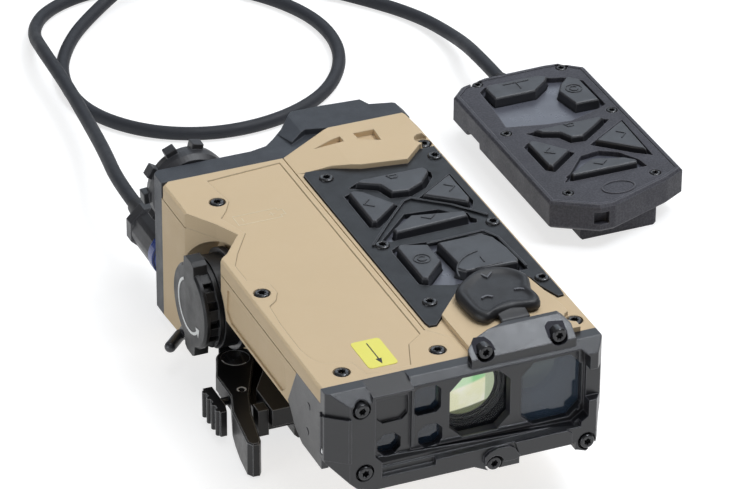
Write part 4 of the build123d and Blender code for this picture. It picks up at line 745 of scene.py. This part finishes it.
# Selector knob: a wide skirted disc with short square tabs, one place left free.
knob = {"x": 15.8, "z": -12.8,
        "profile": [(3.2, 156.0), (13.6, 156.0), (15.0, 158.2), (15.2, 161.4), (14.7, 164.6), (14.0, 165.4),
                    (0.0, 165.4)],
        "tabs": 10, "firstTab": 76.7, "free": 1, "tabRadius": 17.2, "tabRoot": 11.0, "tabWidth": 4.4,
        "tabFrom": 160.9, "tabTo": 165.3, "tabEdge": 0.0003}
tabSize = Matrix.Diagonal(((knob["tabRadius"] - knob["tabRoot"]) / 1000,
                           (knob["tabTo"] - knob["tabFrom"]) / 1000, knob["tabWidth"] / 1000, 1))
tabOut = Matrix.Translation(((knob["tabRadius"] + knob["tabRoot"]) / 2000, 0, 0))
tabMiddle = Matrix.Translation(row(knob["x"], (knob["tabFrom"] + knob["tabTo"]) / 2, knob["z"]))
bm = bmesh.new()
addTurned(bm, knob["x"], knob["z"], knob["profile"])
for k in range(knob["tabs"]):
    if k == knob["free"]:
        continue
    turn = Matrix.Rotation(math.radians(360 / knob["tabs"] * k - knob["firstTab"]), 4, "Y")
    tab = bmesh.ops.create_cube(bm, size=1, matrix=tabMiddle @ turn @ tabOut @ tabSize)["verts"]
    bmesh.ops.bevel(bm, geom=list({e for v in tab for e in v.link_edges}), offset=knob["tabEdge"], segments=2,
                    profile=0.5, affect="EDGES", material=-1)
selectorKnob = finish("selectorKnob", bm, "selector", "plugBlack")
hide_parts("selector_knob")

# Coloured collar between the connector and the plug, and the plug's eight-sided rear ring.
plug = {"x": 8.6, "z": -38.0,
        "plugCollar": ("receptacleBlue", 48, [(8.2, 157.6), (8.75, 157.8), (8.75, 161.6), (8.2, 161.9)]),
        "plugRing": ("plugBlack", 8, [(8.2, 177.8), (9.5, 178.8), (9.5, 183.4), (8.0, 185.2)])}
for name in ("plugCollar", "plugRing"):
    mat, steps, profile = plug[name]
    bm = bmesh.new()
    addTurned(bm, plug["x"], plug["z"], profile, steps, turn=math.pi / 8)
    finish(name, bm, "unit", mat)
print("knob and plug done")

# Painted shade of the pockets round the two screws on the boss's slope: thin dark plates.
pocketShade = {"y": -2.4, "z": 4.45, "thick": 0.03, "slope": (0, 0.8, 0.6),
         "shapes": {57.2: [(-3.5, -2.4), (4.0, -2.4), (3.3, 0.8), (1.6, 3.0), (-2.2, 3.4), (-3.5, 1.8)],
                    84.1: [(-3.6, -2.4), (3.4, -2.4), (3.4, 2.6), (-1.8, 3.4), (-3.6, 2.0)]}}
bm = bmesh.new()
for x, shape in pocketShade["shapes"].items():
    addPlate(bm, shape, row(x, pocketShade["y"], pocketShade["z"]), xAxis, Vector(pocketShade["slope"]), pocketShade["thick"])
finish("bossPocketShade", bm, "unit", "baffleAndShadeBlack")

# The mount without the corner that the lever's head covers.
mountCut = {"through": (1.5, 97, 0), "along": (8.0, 20.0)}
alongX, alongY = mountCut["along"]
bm = bmesh.new()
bm.from_mesh(nodes["mount_base"].data)
bmesh.ops.remove_doubles(bm, verts=bm.verts, dist=1e-6)
cut = bmesh.ops.bisect_plane(bm, geom=bm.verts[:] + bm.edges[:] + bm.faces[:], clear_outer=True,
                             plane_co=row(*mountCut["through"]),
                             plane_no=Vector((-alongY, alongX, 0)).normalized())
bmesh.ops.holes_fill(bm, edges=[e for e in cut["geom_cut"] if isinstance(e, bmesh.types.BMEdge)])
mount = finish("mountBase", bm, "unit", "anodisedBlack")
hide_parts("mount_base")
print("mount done")


studio = {"floorShades": ((0.44, 0.44, 0.44), (0.46, 0.46, 0.46)), "floorCloud": (3, 2, 0.5),
          "floorRough": 0.9, "floorGloss": 0.1, "floorHalf": 6, "floorGlow": (0.15, 0.72), "world": 0.17,
          "middle": (70, 120, -20)}
# Direction from the middle of the unit, distance, width, height, power, colour.
lights = {"topBox": ((0.34, 0.11, 0.93), 1.8, 1.1, 2.0, 20, (0.96, 0.98, 1.0)),
          "frontBox": ((0.36, -0.29, 0.89), 1.8, 0.6, 0.5, 12, (0.88, 0.93, 1.0)),
          "backBox": ((0.34, 0.78, 0.52), 1.9, 1.6, 1.0, 6, (0.78, 0.88, 1.0)),
          "leftFill": ((-1.6, -0.5, 0.3), 1.0, 1.0, 0.8, 9, (0.90, 0.95, 1.0))}
floorMat, tree, shader = newMaterial("floor")
cloudy = ramp(tree, noise(tree, *studio["floorCloud"]), *texture["spread"])
tree.links.new(mixColor(tree, cloudy, *studio["floorShades"]), shader.inputs["Base Color"])
shader.inputs["Emission Color"].default_value = (1, 1, 1, 1)
rays = tree.nodes.new("ShaderNodeLightPath")
seen = rays.outputs["Is Camera Ray"]
for kind in ("Is Glossy Ray", "Is Transmission Ray"):  # the floor is white to all three kinds
    either = tree.nodes.new("ShaderNodeMath")
    either.operation = "MAXIMUM"
    tree.links.new(seen, either.inputs[0])
    tree.links.new(rays.outputs[kind], either.inputs[1])
    seen = either.outputs[0]
tree.links.new(ramp(tree, seen, 0, 1, *studio["floorGlow"]), shader.inputs["Emission Strength"])
shader.inputs["Roughness"].default_value = studio["floorRough"]
shader.inputs["Specular IOR Level"].default_value = studio["floorGloss"]
bm = bmesh.new()
bmesh.ops.create_grid(bm, x_segments=1, y_segments=1, size=studio["floorHalf"],
                      matrix=Matrix.Translation((0, 0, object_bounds()[0].z)))
mesh = bpy.data.meshes.new("floor")
bm.to_mesh(mesh)
bm.free()
floor = bpy.data.objects.new("floor", mesh)
scene.collection.objects.link(floor)
mesh.materials.append(floorMat)

aim = row(*studio["middle"])
for name, (toward, far, width, height, power, color) in lights.items():
    data = bpy.data.lights.new(name, "AREA")
    data.shape = "RECTANGLE"
    data.size, data.size_y = width, height
    data.energy = power
    data.color = color
    lamp = bpy.data.objects.new(name, data)
    scene.collection.objects.link(lamp)
    lamp.location = aim + Vector(toward) * far
    lamp.rotation_euler = (aim - lamp.location).to_track_quat("-Z", "Y").to_euler()
world = bpy.data.worlds.new("world")
world.use_nodes = True
background = world.node_tree.nodes["Background"]
background.inputs["Color"].default_value = (1, 1, 1, 1)
background.inputs["Strength"].default_value = studio["world"]
scene.world = world
print("floor and light done")

bpy.context.view_layer.update()
print("scene done")
